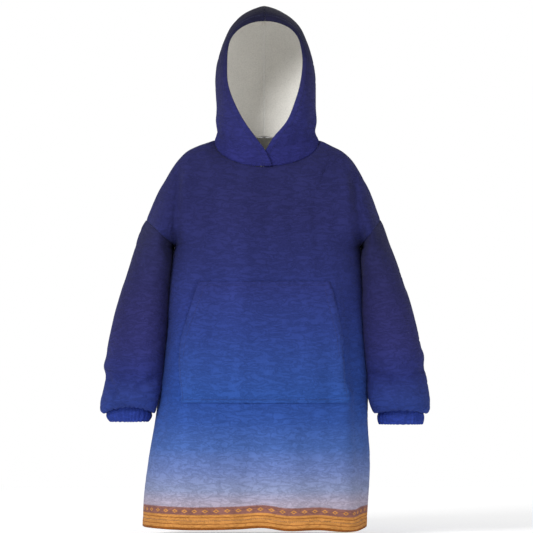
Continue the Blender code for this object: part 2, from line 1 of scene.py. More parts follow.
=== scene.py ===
import bpy
import math
import numpy as np
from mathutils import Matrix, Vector


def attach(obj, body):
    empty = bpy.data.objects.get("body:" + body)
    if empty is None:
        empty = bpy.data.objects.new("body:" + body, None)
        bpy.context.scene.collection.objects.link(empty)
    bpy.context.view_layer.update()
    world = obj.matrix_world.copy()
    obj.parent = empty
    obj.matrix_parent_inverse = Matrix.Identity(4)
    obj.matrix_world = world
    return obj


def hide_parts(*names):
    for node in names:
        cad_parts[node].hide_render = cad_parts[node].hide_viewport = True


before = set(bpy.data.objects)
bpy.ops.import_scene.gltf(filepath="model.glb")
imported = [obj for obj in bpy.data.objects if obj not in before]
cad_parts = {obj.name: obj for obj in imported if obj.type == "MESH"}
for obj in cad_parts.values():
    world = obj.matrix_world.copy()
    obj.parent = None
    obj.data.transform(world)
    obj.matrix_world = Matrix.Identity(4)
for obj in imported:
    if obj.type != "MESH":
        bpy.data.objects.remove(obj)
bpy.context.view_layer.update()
print("frame loaded")

# Lengths are in metres. The front faces -Y and +X is the wearer's left.

hoodie = {
    "detail": 7,             # fine cells for each cell of the plain form
    "wall": 0.003,           # face cloth with its fleece back
    "seamBack": 0.00017,     # how far a piece stops short of a seam
    "seamDip": 0.0012,       # how far the cloth pulls in at a seam
    "seamReach": 0.0048,     # how far from the seam that shows
    "stitchDip": 0.0011,     # how deep a line of stitches sinks in, and how wide
    "stitchWidth": 0.0030,
    "rimRound": 0.42,        # how round an open edge is
    "crinkle": 0.0011,       # depth of the small creases
    "hemEdge": 0.004,        # over how much a turned hem thins out
    "shoulderColumns": 7,
    "neckColumns": 5,
    "yokeRows": 9,
}

bodyForm = {
    "armpitHeight": -0.247,
    "armpitReach": (0.2105, 0.2275),      # wearer's right, left
    "shoulderTip": (0.2805, 0.2775, -0.185),
    "armholeDepth": 0.100,
    "armholeTaper": 1.15,
    "frontCorner": (2.5, 2.3),
    "backCorner": (3.0, 3.0),
    "backSwell": 0.012,
    # height, reach to the wearer's right, reach to the left, front depth, back depth
    "rings": (
        (-0.910, 0.287, 0.243, 0.190, 0.172),
        (-0.848, 0.285, 0.247, 0.187, 0.170),
        (-0.754, 0.274, 0.251, 0.183, 0.166),
        (-0.659, 0.258, 0.246, 0.179, 0.162),
        (-0.564, 0.246, 0.247, 0.174, 0.159),
        (-0.446, 0.235, 0.240, 0.168, 0.155),
        (-0.374, 0.230, 0.239, 0.163, 0.153),
        (-0.303, 0.224, 0.237, 0.156, 0.150),
        (-0.272, 0.2175, 0.2335, 0.152, 0.148),
        (-0.247, 0.2105, 0.2275, 0.148, 0.146),
    ),
    # height, x of the grid lines that the pocket's two sides follow
    "pocketLines": (
        (-0.910, -0.212, 0.196),
        (-0.760, -0.203, 0.192),
        (-0.614, -0.193, 0.188),
        (-0.507, -0.200, 0.185),
        (-0.331, -0.153, 0.153),
        (-0.290, -0.146, 0.147),
        (-0.247, -0.140, 0.140),
    ),
    # reach right, reach left, height from the shoulder's tip to the neck
    "shoulderLine": (
        (0.2805, 0.2775, -0.185),
        (0.2705, 0.2685, -0.161),
        (0.2605, 0.2600, -0.137),
        (0.2495, 0.2505, -0.114),
        (0.2350, 0.2375, -0.090),
        (0.2205, 0.2240, -0.066),
        (0.2030, 0.2070, -0.043),
        (0.1760, 0.1775, -0.0195),
        (0.1470, 0.1500, -0.0065),
        (0.1180, 0.1310, 0.003),
    ),
    "hemWidth": 0.020,
    # x, drop of the hem
    "hemWave": ((-0.29, -0.002), (-0.18, 0.001), (-0.06, -0.002), (0.00, -0.005), (0.05, 0.002),
                (0.13, 0.001), (0.21, 0.007), (0.26, -0.004)),
}

neckForm = {
    "halfWidth": (0.118, 0.131),
    "sideHeight": 0.003,
    "front": (-0.075, -0.059),
    "back": (0.065, 0.012),
}

# The large folds: x and z at one end, x and z at the other, half width, height.
bodyFolds = {
    "front": (
        (0.157, -0.345, 0.188, -0.600, 0.022, 0.0085),
        (0.188, -0.600, 0.203, -0.900, 0.024, 0.0115),
        (0.205, -0.380, 0.232, -0.880, 0.024, -0.0070),
        (-0.205, -0.070, -0.209, -0.225, 0.014, -0.0085),
        (0.215, -0.085, 0.229, -0.220, 0.014, -0.0085),
        (-0.184, -0.090, -0.187, -0.240, 0.014, 0.0035),
        (0.194, -0.100, 0.206, -0.240, 0.014, 0.0035),
        (-0.120, -0.640, -0.150, -0.900, 0.030, 0.0060),
        (-0.040, -0.700, -0.046, -0.905, 0.026, -0.0060),
        (0.060, -0.660, 0.075, -0.905, 0.028, 0.0055),
        (-0.100, -0.120, -0.110, -0.310, 0.018, -0.0025),
        (0.060, -0.100, 0.075, -0.300, 0.016, -0.0025),
    ),
    "back": (
        (0.150, -0.330, 0.200, -0.890, 0.026, 0.0095),
        (-0.140, -0.420, -0.190, -0.890, 0.028, 0.0100),
        (0.020, -0.500, 0.010, -0.900, 0.034, -0.0080),
        (-0.060, -0.060, -0.080, -0.330, 0.022, -0.0030),
        (0.070, -0.070, 0.100, -0.360, 0.022, 0.0030),
    ),
}

sleeveForm = {
    # outer height, inner height, outer reach right, left, inner reach right, left,
    # half depth, middle y
    "rings": (
        (-0.210, -0.265, 0.2930, 0.2870, 0.2195, 0.2355, 0.102, 0.000),
        (-0.240, -0.285, 0.3030, 0.2975, 0.2275, 0.2410, 0.104, 0.000),
        (-0.272, -0.302, 0.3125, 0.3100, 0.2320, 0.2440, 0.104, -0.001),
        (-0.303, -0.323, 0.3220, 0.3210, 0.2350, 0.2455, 0.103, -0.002),
        (-0.338, -0.350, 0.334, 0.333, 0.2370, 0.2455, 0.101, -0.004),
        (-0.374, -0.380, 0.345, 0.345, 0.2380, 0.2450, 0.098, -0.006),
        (-0.410, -0.412, 0.355, 0.355, 0.2395, 0.2450, 0.094, -0.008),
        (-0.446, -0.446, 0.363, 0.364, 0.2415, 0.2460, 0.090, -0.010),
        (-0.478, -0.478, 0.3695, 0.3705, 0.2445, 0.2480, 0.087, -0.012),
        (-0.506, -0.506, 0.3735, 0.3790, 0.2475, 0.2505, 0.084, -0.014),
        (-0.531, -0.531, 0.3795, 0.3785, 0.2490, 0.2535, 0.079, -0.015),
        (-0.554, -0.555, 0.3755, 0.3845, 0.2520, 0.2560, 0.077, -0.016),
        (-0.578, -0.578, 0.3790, 0.3885, 0.2530, 0.2545, 0.080, -0.017),
        (-0.602, -0.602, 0.3850, 0.3925, 0.2555, 0.2535, 0.079, -0.018),
        (-0.623, -0.622, 0.3880, 0.3935, 0.2570, 0.2555, 0.074, -0.019),
        (-0.636, -0.635, 0.3865, 0.3915, 0.2580, 0.2580, 0.066, -0.020),
        (-0.642, -0.641, 0.3800, 0.3850, 0.2600, 0.2625, 0.056, -0.020),
    ),
    "turn": 0.034,
    "gather": 0.0016,
}

cuffForm = {
    "seam": (-0.640, 0.0535, 0.045),    # height, half width, half depth
    "middle": (-0.319, 0.3235),
    "arch": (0.015, 0.007),             # right, left
    "archHalf": 0.060,
    "depthMiddle": -0.020,
    "gather": 0.0014,
    "crinkle": 0.0005,
    # drop, half width right, half width left, half depth
    "rings": (
        (-0.006, 0.0540, 0.0545, 0.0460),
        (-0.012, 0.0530, 0.0545, 0.0460),
        (-0.018, 0.0500, 0.0535, 0.0450),
        (-0.024, 0.0450, 0.0515, 0.0430),
    ),
}

hoodForm = {
    # opening edge: x right, x left, y, z; side: x right, x left, y, z; back seam: y, z
    "rows": (
        (0.018, -0.018, -0.0755, -0.0585, 0.118, 0.131, 0.000, 0.003, 0.065, 0.012),
        (0.003, 0.005, -0.0880, -0.0225, 0.1115, 0.1215, 0.002, 0.024, 0.078, 0.035),
        (-0.021, 0.024, -0.0930, 0.010, 0.1145, 0.1250, 0.004, 0.050, 0.096, 0.062),
        (-0.048, 0.055, -0.0925, 0.048, 0.1125, 0.1230, 0.008, 0.080, 0.118, 0.092),
        (-0.071, 0.0735, -0.0885, 0.092, 0.1145, 0.1230, 0.012, 0.114, 0.138, 0.126),
        (-0.086, 0.0865, -0.0835, 0.1375, 0.1160, 0.1230, 0.015, 0.147, 0.152, 0.160),
        (-0.088, 0.092, -0.0790, 0.185, 0.1130, 0.1190, 0.018, 0.180, 0.158, 0.194),
        (-0.085, 0.088, -0.0770, 0.222, 0.1060, 0.1120, 0.020, 0.208, 0.158, 0.222),
        (-0.076, 0.080, -0.0765, 0.246, 0.0960, 0.1020, 0.022, 0.238, 0.153, 0.245),
        (-0.058, 0.063, -0.0770, 0.266, 0.0800, 0.0860, 0.025, 0.2725, 0.145, 0.263),
        (-0.036, 0.040, -0.0780, 0.278, 0.0560, 0.0600, 0.028, 0.299, 0.136, 0.277),
        (-0.016, 0.019, -0.0785, 0.2835, 0.0290, 0.0310, 0.030, 0.315, 0.128, 0.287),
        (0.003, 0.003, -0.0785, 0.2845, 0.0000, 0.0000, 0.030, 0.325, 0.121, 0.293),
    ),
    "lapShift": 0.0045,
    "lapColumns": (1.0, 1.0, 1.0, 0.5, 0.15, 0.0),
    "seamColumns": (1.0, 0.9, 0.12, 0.0, 0.0, 0.0),
    "lapRows": (1.0, 1.0, 0.55, 0.15, 0.0),
    "hemWidth": 0.016,
    "liningWall": 0.0016,
    "liningGap": 0.0003,
    "liningSeam": (0.0022, 0.0010, 0.0045),     # height behind, height along the crown, half width
    "liningCrinkle": 0.0007,
    "crinkle": 0.0009,
}

pocketForm = {
    "top": -0.331,
    "bottom": -0.614,
    "openingBottom": -0.507,
    "wall": 0.0028,
    "gap": 0.0004,
    "lift": 0.0044,
    "slump": 0.0035,        # how far the filled-out middle stands off
    "hemWidth": 0.018,
    "stitchIn": {"top": 0.008, "foot": 0.007, "start": 0.006, "end": 0.006},
    "thinnest": 0.0012,
}


# Small helpers on arrays

def smoothStep(value):
    t = np.clip(value, 0.0, 1.0)
    return t * t * (3.0 - 2.0 * t)


def smoothTable(table, at):
    rows = np.array(table, dtype=float)
    if rows[0, 0] > rows[-1, 0]:
        rows = rows[::-1]
    keys = rows[:, 0]
    at = np.clip(np.atleast_1d(np.asarray(at, dtype=float)), keys[0], keys[-1])
    k = np.clip(np.searchsorted(keys, at) - 1, 0, len(keys) - 2)
    slopes = np.gradient(rows[:, 1:], keys, axis=0)
    span = (keys[k + 1] - keys[k])[:, None]
    t = (at[:, None] - keys[k][:, None]) / span
    a, b = rows[k, 1:], rows[k + 1, 1:]
    ma, mb = slopes[k] * span, slopes[k + 1] * span
    return ((2 * t ** 3 - 3 * t ** 2 + 1) * a + (t ** 3 - 2 * t ** 2 + t) * ma
            + (3 * t ** 2 - 2 * t ** 3) * b + (t ** 3 - t ** 2) * mb)


def spread(points, count):
    line = np.array(points, dtype=float)
    steps = np.linalg.norm(np.diff(line, axis=0), axis=1)
    along = np.concatenate([[0.0], np.cumsum(steps)])
    return smoothTable(np.column_stack([along, line]), np.linspace(0.0, along[-1], count + 1))


def betweenRows(grid, factor):
    # fills in rows between the ones given, on a smooth curve
    rows = grid.shape[0]
    table = np.column_stack([np.arange(rows), grid.reshape(rows, -1)])
    fine = smoothTable(table, np.linspace(0, rows - 1, (rows - 1) * factor + 1))
    return fine.reshape((-1,) + grid.shape[1:])


def softNoise(u, v, seed):
    # smooth random hills about one unit wide, from -1 to 1
    lattice = np.random.default_rng(seed).random((97, 97)) * 2.0 - 1.0
    iu, iv = np.floor(u).astype(int), np.floor(v).astype(int)
    fu, fv = smoothStep(u - iu), smoothStep(v - iv)
    a, b = lattice[iu % 97, iv % 97], lattice[(iu + 1) % 97, iv % 97]
    c, d = lattice[iu % 97, (iv + 1) % 97], lattice[(iu + 1) % 97, (iv + 1) % 97]
    return (a + (b - a) * fu) * (1 - fv) + (c + (d - c) * fu) * fv


# The plain form: the same rings and seams as the solids, in finer cells

def torsoRow(side, height):
    k = hoodie["detail"]
    right, left, front, back = smoothTable(bodyForm["rings"], height)[0]
    depth = front if side == "front" else back
    lineRight, lineLeft = smoothTable(bodyForm["pocketLines"], height)[0]
    corner = bodyForm[side + "Corner"]
    middle = 2 * (hoodie["shoulderColumns"] + hoodie["neckColumns"]) - 10
    first = math.acos((-lineRight / right) ** (corner[0] / 2.0))
    last = math.pi - math.acos((lineLeft / left) ** (corner[1] / 2.0))
    xs = np.linspace(lineRight, lineLeft, middle * k + 1)[1:-1]
    fromSide = np.where(xs < 0, np.arccos(np.abs(xs / right) ** (corner[0] / 2.0)),
                        math.pi - np.arccos(np.abs(xs / left) ** (corner[1] / 2.0)))
    angles = np.concatenate([np.linspace(0.0, first, 5 * k + 1), fromSide,
                             np.linspace(last, math.pi, 5 * k + 1)])
    across = -np.cos(angles)
    power = np.where(across < 0, corner[0], corner[1])
    half = np.where(across < 0, right, left)
    x = np.sign(across) * half * np.abs(across) ** (2.0 / power)
    y = depth * np.maximum(np.sin(angles), 0.0) ** (2.0 / power)
    if side == "back":
        level = smoothStep((bodyForm["armpitHeight"] - height) / 0.02)
        level = level * smoothStep((height + 0.75) / 0.1)
        x = x + np.sign(across) * bodyForm["backSwell"] * level * np.sin(2.0 * angles) ** 2
    return np.column_stack([x, -y if side == "front" else y, np.full_like(x, height)])


def neckPoints(turns):
    angle = np.asarray(turns) * math.pi / 2.0
    ahead = np.cos(angle) > 0
    y = np.where(ahead, neckForm["front"][0], neckForm["back"][0])
    z = np.where(ahead, neckForm["front"][1], neckForm["back"][1])
    lean = np.abs(np.cos(angle))
    side = neckForm["sideHeight"]
    half = np.where(np.sin(angle) < 0, *neckForm["halfWidth"])
    return np.column_stack([half * np.sin(angle), y * lean, side + (z - side) * lean])


def armholeAlong(t):
    return 0.8 * t + 0.2 * (1.0 - np.cos(math.pi * t)) / 2.0


def armholePoints(hand, side, t):
    t = np.atleast_1d(t)
    column = 0 if hand < 0 else 1
    tip = bodyForm["shoulderTip"]
    low = np.array([hand * bodyForm["armpitReach"][column], 0.0, bodyForm["armpitHeight"]])
    high = np.array([hand * tip[column], 0.0, tip[2]])
    points = low + (high - low) * armholeAlong(t)[:, None]
    bulge = bodyForm["armholeDepth"] * np.maximum(np.sin(math.pi * t), 0.0) ** bodyForm["armholeTaper"]
    points[:, 1] = -bulge if side == "front" else bulge
    return points


def yokeTop(side):
    k = hoodie["detail"]
    line = bodyForm["shoulderLine"]
    right, left = (spread([(way * row[at], 0.0, row[2]) for row in line], hoodie["shoulderColumns"] * k)
                   for way, at in ((-1, 0), (1, 1)))
    end = 1.0 if side == "front" else -3.0
    neck = neckPoints(np.linspace(-1.0, end, 2 * hoodie["neckColumns"] * k + 1))
    return np.concatenate([right[:-1], neck, left[::-1][1:]])


def yokeRow(side, t, low, below, top):
    k = hoodie["detail"]
    count = len(low) - 1
    sign = -1.0 if side == "front" else 1.0
    chord = np.linalg.norm(top - low, axis=1)[:, None]
    rise = (low - below) / 0.03 * chord * 1.05
    fromNeck = (np.arange(count + 1) - count / 2.0) / (hoodie["neckColumns"] * k)
    turn = np.clip(fromNeck, -1.0, 1.0) * math.pi / 2.0
    past = smoothStep((np.abs(fromNeck) - 1.0) / 0.8)[:, None]
    level = np.abs(np.sin(turn))
    toNeck = np.column_stack([-np.sin(turn) * 0.75, -sign * (0.50 + 0.10 * level), 0.86 - 0.76 * level])
    arrive = (toNeck * (1 - past) + np.array([0.0, -sign, 0.0]) * past) * chord * 0.95
    points = ((2 * t ** 3 - 3 * t ** 2 + 1) * low + (t ** 3 - 2 * t ** 2 + t) * rise
              + (3 * t ** 2 - 2 * t ** 3) * top + (t ** 3 - t ** 2) * arrive)
    weight = np.clip(1.0 - np.arange(count + 1) / (6.0 * k), 0.0, 1.0)[:, None] ** 1.6
    missRight = armholePoints(-1, side, t)[0] - points[0]
    missLeft = armholePoints(1, side, t)[0] - points[-1]
    return points + weight * missRight + weight[::-1] * missLeft


def bodyHeights():
    k = hoodie["detail"]
    stops = (bodyForm["rings"][0][0], pocketForm["bottom"], pocketForm["top"], bodyForm["armpitHeight"])
    heights = []
    for low, high, cells in zip(stops, stops[1:], (8, 8, 3)):
        heights += list(np.linspace(low, high, cells * k + 1)[:-1])
    return np.array(heights)


def bodyGrid(side):
    k = hoodie["detail"]
    rows = []
    for height in bodyHeights():
        row = torsoRow(side, height)
        fade = smoothStep((height - bodyForm["rings"][0][0]) / 0.22)
        row[:, 2] -= smoothTable(bodyForm["hemWave"], row[:, 0])[:, 0] * (1.0 - fade)
        rows.append(row)
    low = torsoRow(side, bodyForm["armpitHeight"])
    below = torsoRow(side, bodyForm["armpitHeight"] - 0.03)
    top = yokeTop(side)
    for t in np.linspace(0.0, 1.0, hoodie["yokeRows"] * k + 1):
        rows.append(yokeRow(side, t, low, below, top))
    return np.array(rows)


def ringPoints(outer, inner, halfDepth, middleY, roundness, turned=0.0):
    count = hoodie["yokeRows"] * hoodie["detail"]
    j = np.arange(2 * count)
    ahead = j <= count
    t = np.where(ahead, j, 2 * count - j) / count
    plain = armholeAlong(t)
    along = plain + ((1.0 - np.cos(math.pi * t)) / 2.0 - plain) * roundness
    points = inner + (outer - inner) * along[:, None]
    taper = bodyForm["armholeTaper"]
    bulge = halfDepth * np.maximum(np.sin(math.pi * t), 0.0) ** (taper + (1.0 - taper) * roundness)
    way = np.where(ahead, -bulge, bulge)
    points[:, 1] = middleY + way
    points[:, 0] += turned * (1.0 - along) * way / halfDepth
    return points


def cuffRing(hand, drop, halfWidth, halfDepth):
    middle = cuffForm["middle"][0 if hand < 0 else 1]
    height = cuffForm["seam"][0] + drop * (1.15 if hand > 0 else 0.9)
    outer = np.array([middle + hand * halfWidth, 0.0, height])
    inner = np.array([middle - hand * halfWidth, 0.0, height])
    return ringPoints(outer, inner, halfDepth, cuffForm["depthMiddle"], 1.0)


def sleeveGrid(hand):
    count = hoodie["yokeRows"] * hoodie["detail"]
    front = armholePoints(hand, "front", np.arange(count + 1) / count)
    back = armholePoints(hand, "back", np.arange(count - 1, 0, -1) / count)
    rings = [np.concatenate([front, back])]
    column = 0 if hand < 0 else 1
    total = len(sleeveForm["rings"])
    for k, ring in enumerate(sleeveForm["rings"]):
        outer = np.array([hand * ring[2 + column], 0.0, ring[0]])
        inner = np.array([hand * ring[4 + column], 0.0, ring[1]])
        turned = sleeveForm["turn"] * smoothStep((k + 1) / 2.5) * smoothStep((total - k) / 4.0)
        rings.append(ringPoints(outer, inner, ring[6], ring[7], smoothStep((k + 1) / 4.0), turned * hand))
    rings.append(cuffRing(hand, 0.0, cuffForm["seam"][1], cuffForm["seam"][2]))
    return archCuff(betweenRows(np.array(rings), hoodie["detail"]), hand)


def archCuff(grid, hand):
    # the seam rides up at the middle of the front, so more of the cuff shows there
    column = 0 if hand < 0 else 1
    middle = cuffForm["middle"][column]
    x, y, z = grid[..., 0], grid[..., 1], grid[..., 2]
    seam = cuffForm["seam"][0]
    across = np.clip(1.0 - ((x - middle) / cuffForm["archHalf"]) ** 2, 0.0, 1.0)
    ahead = smoothStep((cuffForm["depthMiddle"] - y) / 0.03)
    level = smoothStep(1.0 - np.where(z > seam, (z - seam) / 0.045, (seam - z) / 0.022))
    grid[..., 2] += cuffForm["arch"][column] * across * ahead * level
    return grid


def cuffGrid(hand):
    rings = [cuffRing(hand, 0.0, cuffForm["seam"][1], cuffForm["seam"][2])]
    rings += [cuffRing(hand, ring[0], ring[1 if hand < 0 else 2], ring[3]) for ring in cuffForm["rings"]]
    return archCuff(betweenRows(np.array(rings), hoodie["detail"]), hand)


def hoodGrid(hand):
    k = hoodie["detail"]
    neckCells = hoodie["neckColumns"]
    rows = hoodForm["rows"]
    edgeTurn = math.asin(abs(rows[0][0]) / neckForm["halfWidth"][1 if hand < 0 else 0])
    c = np.arange((neckCells + 1) * k + 1) / k
    turns = np.where(c < 1.0, -edgeTurn * (1.0 - c), (c - 1.0) / neckCells * math.pi / 2.0)
    neckShare = (np.sin(turns) + math.sin(edgeTurn)) / (1.0 + math.sin(edgeTurn))
    s = c / (neckCells + 1) * math.pi / 2.0
    s2 = np.arange(1, neckCells * k + 1) / (neckCells * k) * math.pi / 2.0
    last = len(rows) - 1
    made = []
    for r, row in enumerate(rows):
        edge = np.array([row[0] if hand < 0 else row[1], row[2], row[3]])
        side = np.array([hand * (row[4] if hand < 0 else row[5]), row[6], row[7]])
        back = np.array([0.0, row[8], row[9]])
        atNeck = 1.0 - smoothStep(r / 3.0)
        arch = smoothStep(r / last)
        share = np.sin(s) + (neckShare - np.sin(s)) * atNeck
        fall = 1.0 - np.cos(s)
        points = edge + (side - edge) * np.column_stack([share, fall, fall + (np.sin(s) - fall) * arch])
        if r == 0:
            points = neckPoints(hand * turns * 2.0 / math.pi)
            points[:, 2] += 0.0016 * np.clip(1.0 - c, 0.0, 1.0)
        turn = 1.0 - np.cos(s2)
        lift = np.sin(s2) + (turn - np.sin(s2)) * arch
        behind = side + (back - side) * np.column_stack([turn, np.sin(s2), lift])
        made.append(np.concatenate([points, behind]))
    return betweenRows(np.array(made), k)


# Working on a fine grid

# where each edge of a grid is, and the row or column beside it
whole = slice(None)
edgePlaces = {
    "foot": ((0,), (1,)),
    "top": ((-1,), (-2,)),
    "start": ((whole, 0), (whole, 1)),
    "end": ((whole, -1), (whole, -2)),
}


def unit(ways):
    return ways / np.maximum(np.linalg.norm(ways, axis=-1, keepdims=True), 1e-9)


def gridNormals(grid, closed):
    if closed:
        across = np.roll(grid, -1, axis=1) - np.roll(grid, 1, axis=1)
    else:
        across = np.gradient(grid, axis=1)
    normal = np.cross(across, np.gradient(grid, axis=0))
    return normal / np.maximum(np.linalg.norm(normal, axis=-1, keepdims=True), 1e-12)


def edgeDistances(grid, closed):
    # distance along the cloth from each of a grid's four edges
    down = np.linalg.norm(np.diff(grid, axis=0), axis=-1)
    foot = np.vstack([np.zeros((1, grid.shape[1])), np.cumsum(down, axis=0)])
    far = {"foot": foot, "top": foot[-1] - foot}
    if not closed:
        along = np.linalg.norm(np.diff(grid, axis=1), axis=-1)
        start = np.hstack([np.zeros((grid.shape[0], 1)), np.cumsum(along, axis=1)])
        far["start"] = start
        far["end"] = start[:, -1:] - start
    return far


def foldHeights(points, normals, folds):
    # soft ridges and troughs along straight runs, on the side that they face
    total = np.zeros(points.shape[:2])
    flat = points[..., [0, 2]]
    for facing, runs in folds.items():
        way = -normals[..., 1] if facing == "front" else normals[..., 1]
        weight = smoothStep((way + 0.05) / 0.4)
        for x0, z0, x1, z1, width, height in runs:
            a, b = np.array([x0, z0]), np.array([x1, z1])
            t = np.clip(((flat - a) @ (b - a)) / max((b - a) @ (b - a), 1e-9), 0.0, 1.0)
            gap = np.linalg.norm(flat - a - (b - a) * t[..., None], axis=-1)
            total += weight * height * np.exp(-(gap / width) ** 2)
    return total


def crinkles(u, v, seed, amount):
    # short wavy creases that run mostly across the cloth
    bend = softNoise(u / 0.045, v / 0.030, seed) * 0.6
    wave = softNoise(u / 0.034 + bend, v / 0.0115 + bend * 1.6, seed + 1)
    patch = smoothStep(softNoise(u / 0.070, v / 0.050, seed + 2) * 0.9 + 0.55)
    broad = softNoise(u / 0.055, v / 0.080, seed + 3)
    return amount * (-np.exp(-(wave / 0.30) ** 2) * patch + 0.35 * broad)


class Piece:
    # one cut piece: its grid, which way it faces, and the dips and ridges on it
    def __init__(self, name, grid, closed, middle, seams):
        self.name, self.grid, self.closed, self.seams = name, grid, closed, seams
        normal = gridNormals(grid, closed)
        centre = grid.mean(axis=1, keepdims=True) if closed else np.array(middle)
        self.turned = float((normal * (grid - centre)).sum()) < 0
        self.normal = -normal if self.turned else normal
        self.far = edgeDistances(grid, closed)
        self.lift = np.zeros(grid.shape[:2])
        self.wall = np.full(grid.shape[:2], hoodie["wall"])
        across = self.far["start"] if not closed else np.cumsum(
            np.linalg.norm(np.roll(grid, -1, axis=1) - grid, axis=-1), axis=1)
        self.u = across - across.mean(axis=1, keepdims=True)
        self.v = self.far["foot"]

    def joinSeams(self, shared):
        # near a seam the wall takes the direction that both of its pieces share
        for edge in self.seams:
            at = edgePlaces[edge][0]
            target = np.array([shared[placeKey(p)] for p in self.grid[at]])
            target = target[None] if edge in ("foot", "top") else target[:, None]
            share = smoothStep(1.0 - self.far[edge] / 0.018)[..., None]
            self.normal = self.normal * (1 - share) + target * share
        self.normal /= np.linalg.norm(self.normal, axis=-1, keepdims=True)

    def seamDips(self):
        for edge in self.seams:
            self.lift -= hoodie["seamDip"] * np.exp(-(self.far[edge] / hoodie["seamReach"]) ** 2)

    def stitchedLine(self, edge, distance):
        self.lift -= hoodie["stitchDip"] * np.exp(-((self.far[edge] - distance) / hoodie["stitchWidth"]) ** 2)

    def nearSeam(self, reach):
        # 0 at the sewn edges, 1 further in than the reach
        fade = np.ones_like(self.lift)
        for edge in self.seams:
            fade *= smoothStep(self.far[edge] / reach)
        return fade

    def outer(self):
        return self.grid + self.normal * self.lift[..., None]

    def inner(self):
        return self.grid + self.normal * (self.lift * 0.8 - self.wall)[..., None]


def placeKey(point):
    return tuple(np.round(point, 5) + 0.0)


def sharedDirections(pieces):
    total = {}
    for piece in pieces:
        for edge in piece.seams:
            at = edgePlaces[edge][0]
            for point, normal in zip(piece.grid[at], piece.normal[at]):
                key = placeKey(point)
                total[key] = total.get(key, np.zeros(3)) + normal
    return {key: value / max(np.linalg.norm(value), 1e-9) for key, value in total.items()}


def rimLoops(shape, closed):
    rows, columns = shape
    if closed:
        return [[(0, j) for j in range(columns)], [(rows - 1, j) for j in range(columns - 1, -1, -1)]]
    loop = [(0, j) for j in range(columns - 1)] + [(i, columns - 1) for i in range(rows - 1)]
    loop += [(rows - 1, j) for j in range(columns - 1, 0, -1)] + [(i, 0) for i in range(rows - 1, 0, -1)]
    return [loop]


def clothMesh(name, outer, inner, piece, materials):
    # two walls and a rim; the walls meet the rim square where the edge is sewn
    closed, sewn = piece.closed, piece.seams
    rows, columns = outer.shape[:2]
    size = rows * columns
    index = np.arange(size).reshape(rows, columns)
    nextColumn = np.roll(index, -1, axis=1) if closed else index[:, 1:]
    here = index if closed else index[:, :-1]
    quads = np.stack([here[:-1], nextColumn[:-1], nextColumn[1:], here[1:]], axis=-1).reshape(-1, 4)
    faces = [quads, quads[:, ::-1] + size]
    points = [outer.reshape(-1, 3), inner.reshape(-1, 3)]
    base = 2 * size
    rimFrom = []
    for loop in rimLoops((rows, columns), closed):
        ids = np.array([index[c] for c in loop])
        inward = []
        for i, j in loop:
            a = i + (1 if i == 0 else -1 if i == rows - 1 else 0)
            b = j if closed else j + (1 if j == 0 else -1 if j == columns - 1 else 0)
            inward.append(index[a, b])
        middle = (points[0][ids] + points[1][ids]) / 2.0
        inside = (points[0][inward] + points[1][inward]) / 2.0
        way = unit(middle - inside)
        thick = np.linalg.norm(points[0][ids] - points[1][ids], axis=1, keepdims=True)
        roundness = [0.0 if isSewn(c, (rows, columns), closed, sewn) else hoodie["rimRound"] for c in loop]
        middle = middle + way * thick * np.array(roundness)[:, None]
        mids = base + np.arange(len(loop))
        after = np.roll(np.arange(len(loop)), -1)
        faces.append(np.column_stack([ids[after], ids, mids, mids[after]]))
        faces.append(np.column_stack([mids[after], mids, ids + size, ids[after] + size]))
        points.append(middle)
        rimFrom.append(ids)
        base += len(loop)
    allPoints = np.concatenate(points)
    allFaces = np.concatenate(faces)
    if piece.turned:
        allFaces = allFaces[:, ::-1]
    mesh = bpy.data.meshes.new(name)
    mesh.from_pydata(allPoints.tolist(), [], allFaces.tolist())
    slots = np.zeros(len(allFaces), dtype=np.int32)
    slots[len(quads):2 * len(quads)] = 1 if len(materials) > 1 else 0
    for material in materials:
        mesh.materials.append(material)
    mesh.polygons.foreach_set("material_index", slots)
    mesh.polygons.foreach_set("use_smooth", np.ones(len(allFaces), dtype=bool))
    flat = np.column_stack([piece.u.reshape(-1), piece.v.reshape(-1)])
    perPoint = np.concatenate([flat, flat] + [flat[ids] for ids in rimFrom])
    corners = np.zeros(len(mesh.loops), dtype=np.int32)
    mesh.loops.foreach_get("vertex_index", corners)
    layer = mesh.uv_layers.new(name="cloth")
    layer.data.foreach_set("uv", perPoint[corners].astype(np.float32).reshape(-1))
    mesh.update()
    return mesh


def isSewn(corner, shape, closed, sewn):
    # true for a rim point whose edges are all sewn ones
    i, j = corner
    on = {"foot": i == 0, "top": i == shape[0] - 1,
          "start": not closed and j == 0, "end": not closed and j == shape[1] - 1}
    return all(edge in sewn for edge in on if on[edge])


def pulledBack(grid, seams):
    # each sewn edge stops a little short of its neighbour
    pulled = grid.copy()
    for edge in seams:
        at, beside = edgePlaces[edge]
        pulled[at] += unit(grid[beside] - grid[at]) * hoodie["seamBack"]
    return pulled


# Shader building: sums on sockets are written as sums

class Wire:
    def __init__(self, board, socket):
        self.board, self.socket = board, socket

    def math(self, operation, a, b):
        return self.board.make("ShaderNodeMath", {"operation": operation}, {0: a, 1: b})

    def __add__(self, other):
        return self.math("ADD", self, other)

    def __radd__(self, other):
        return self.math("ADD", other, self)

    def __sub__(self, other):
        return self.math("SUBTRACT", self, other)

    def __rsub__(self, other):
        return self.math("SUBTRACT", other, self)

    def __mul__(self, other):
        return self.math("MULTIPLY", self, other)

    def __rmul__(self, other):
        return self.math("MULTIPLY", other, self)

    def __truediv__(self, other):
        return self.math("DIVIDE", self, other)


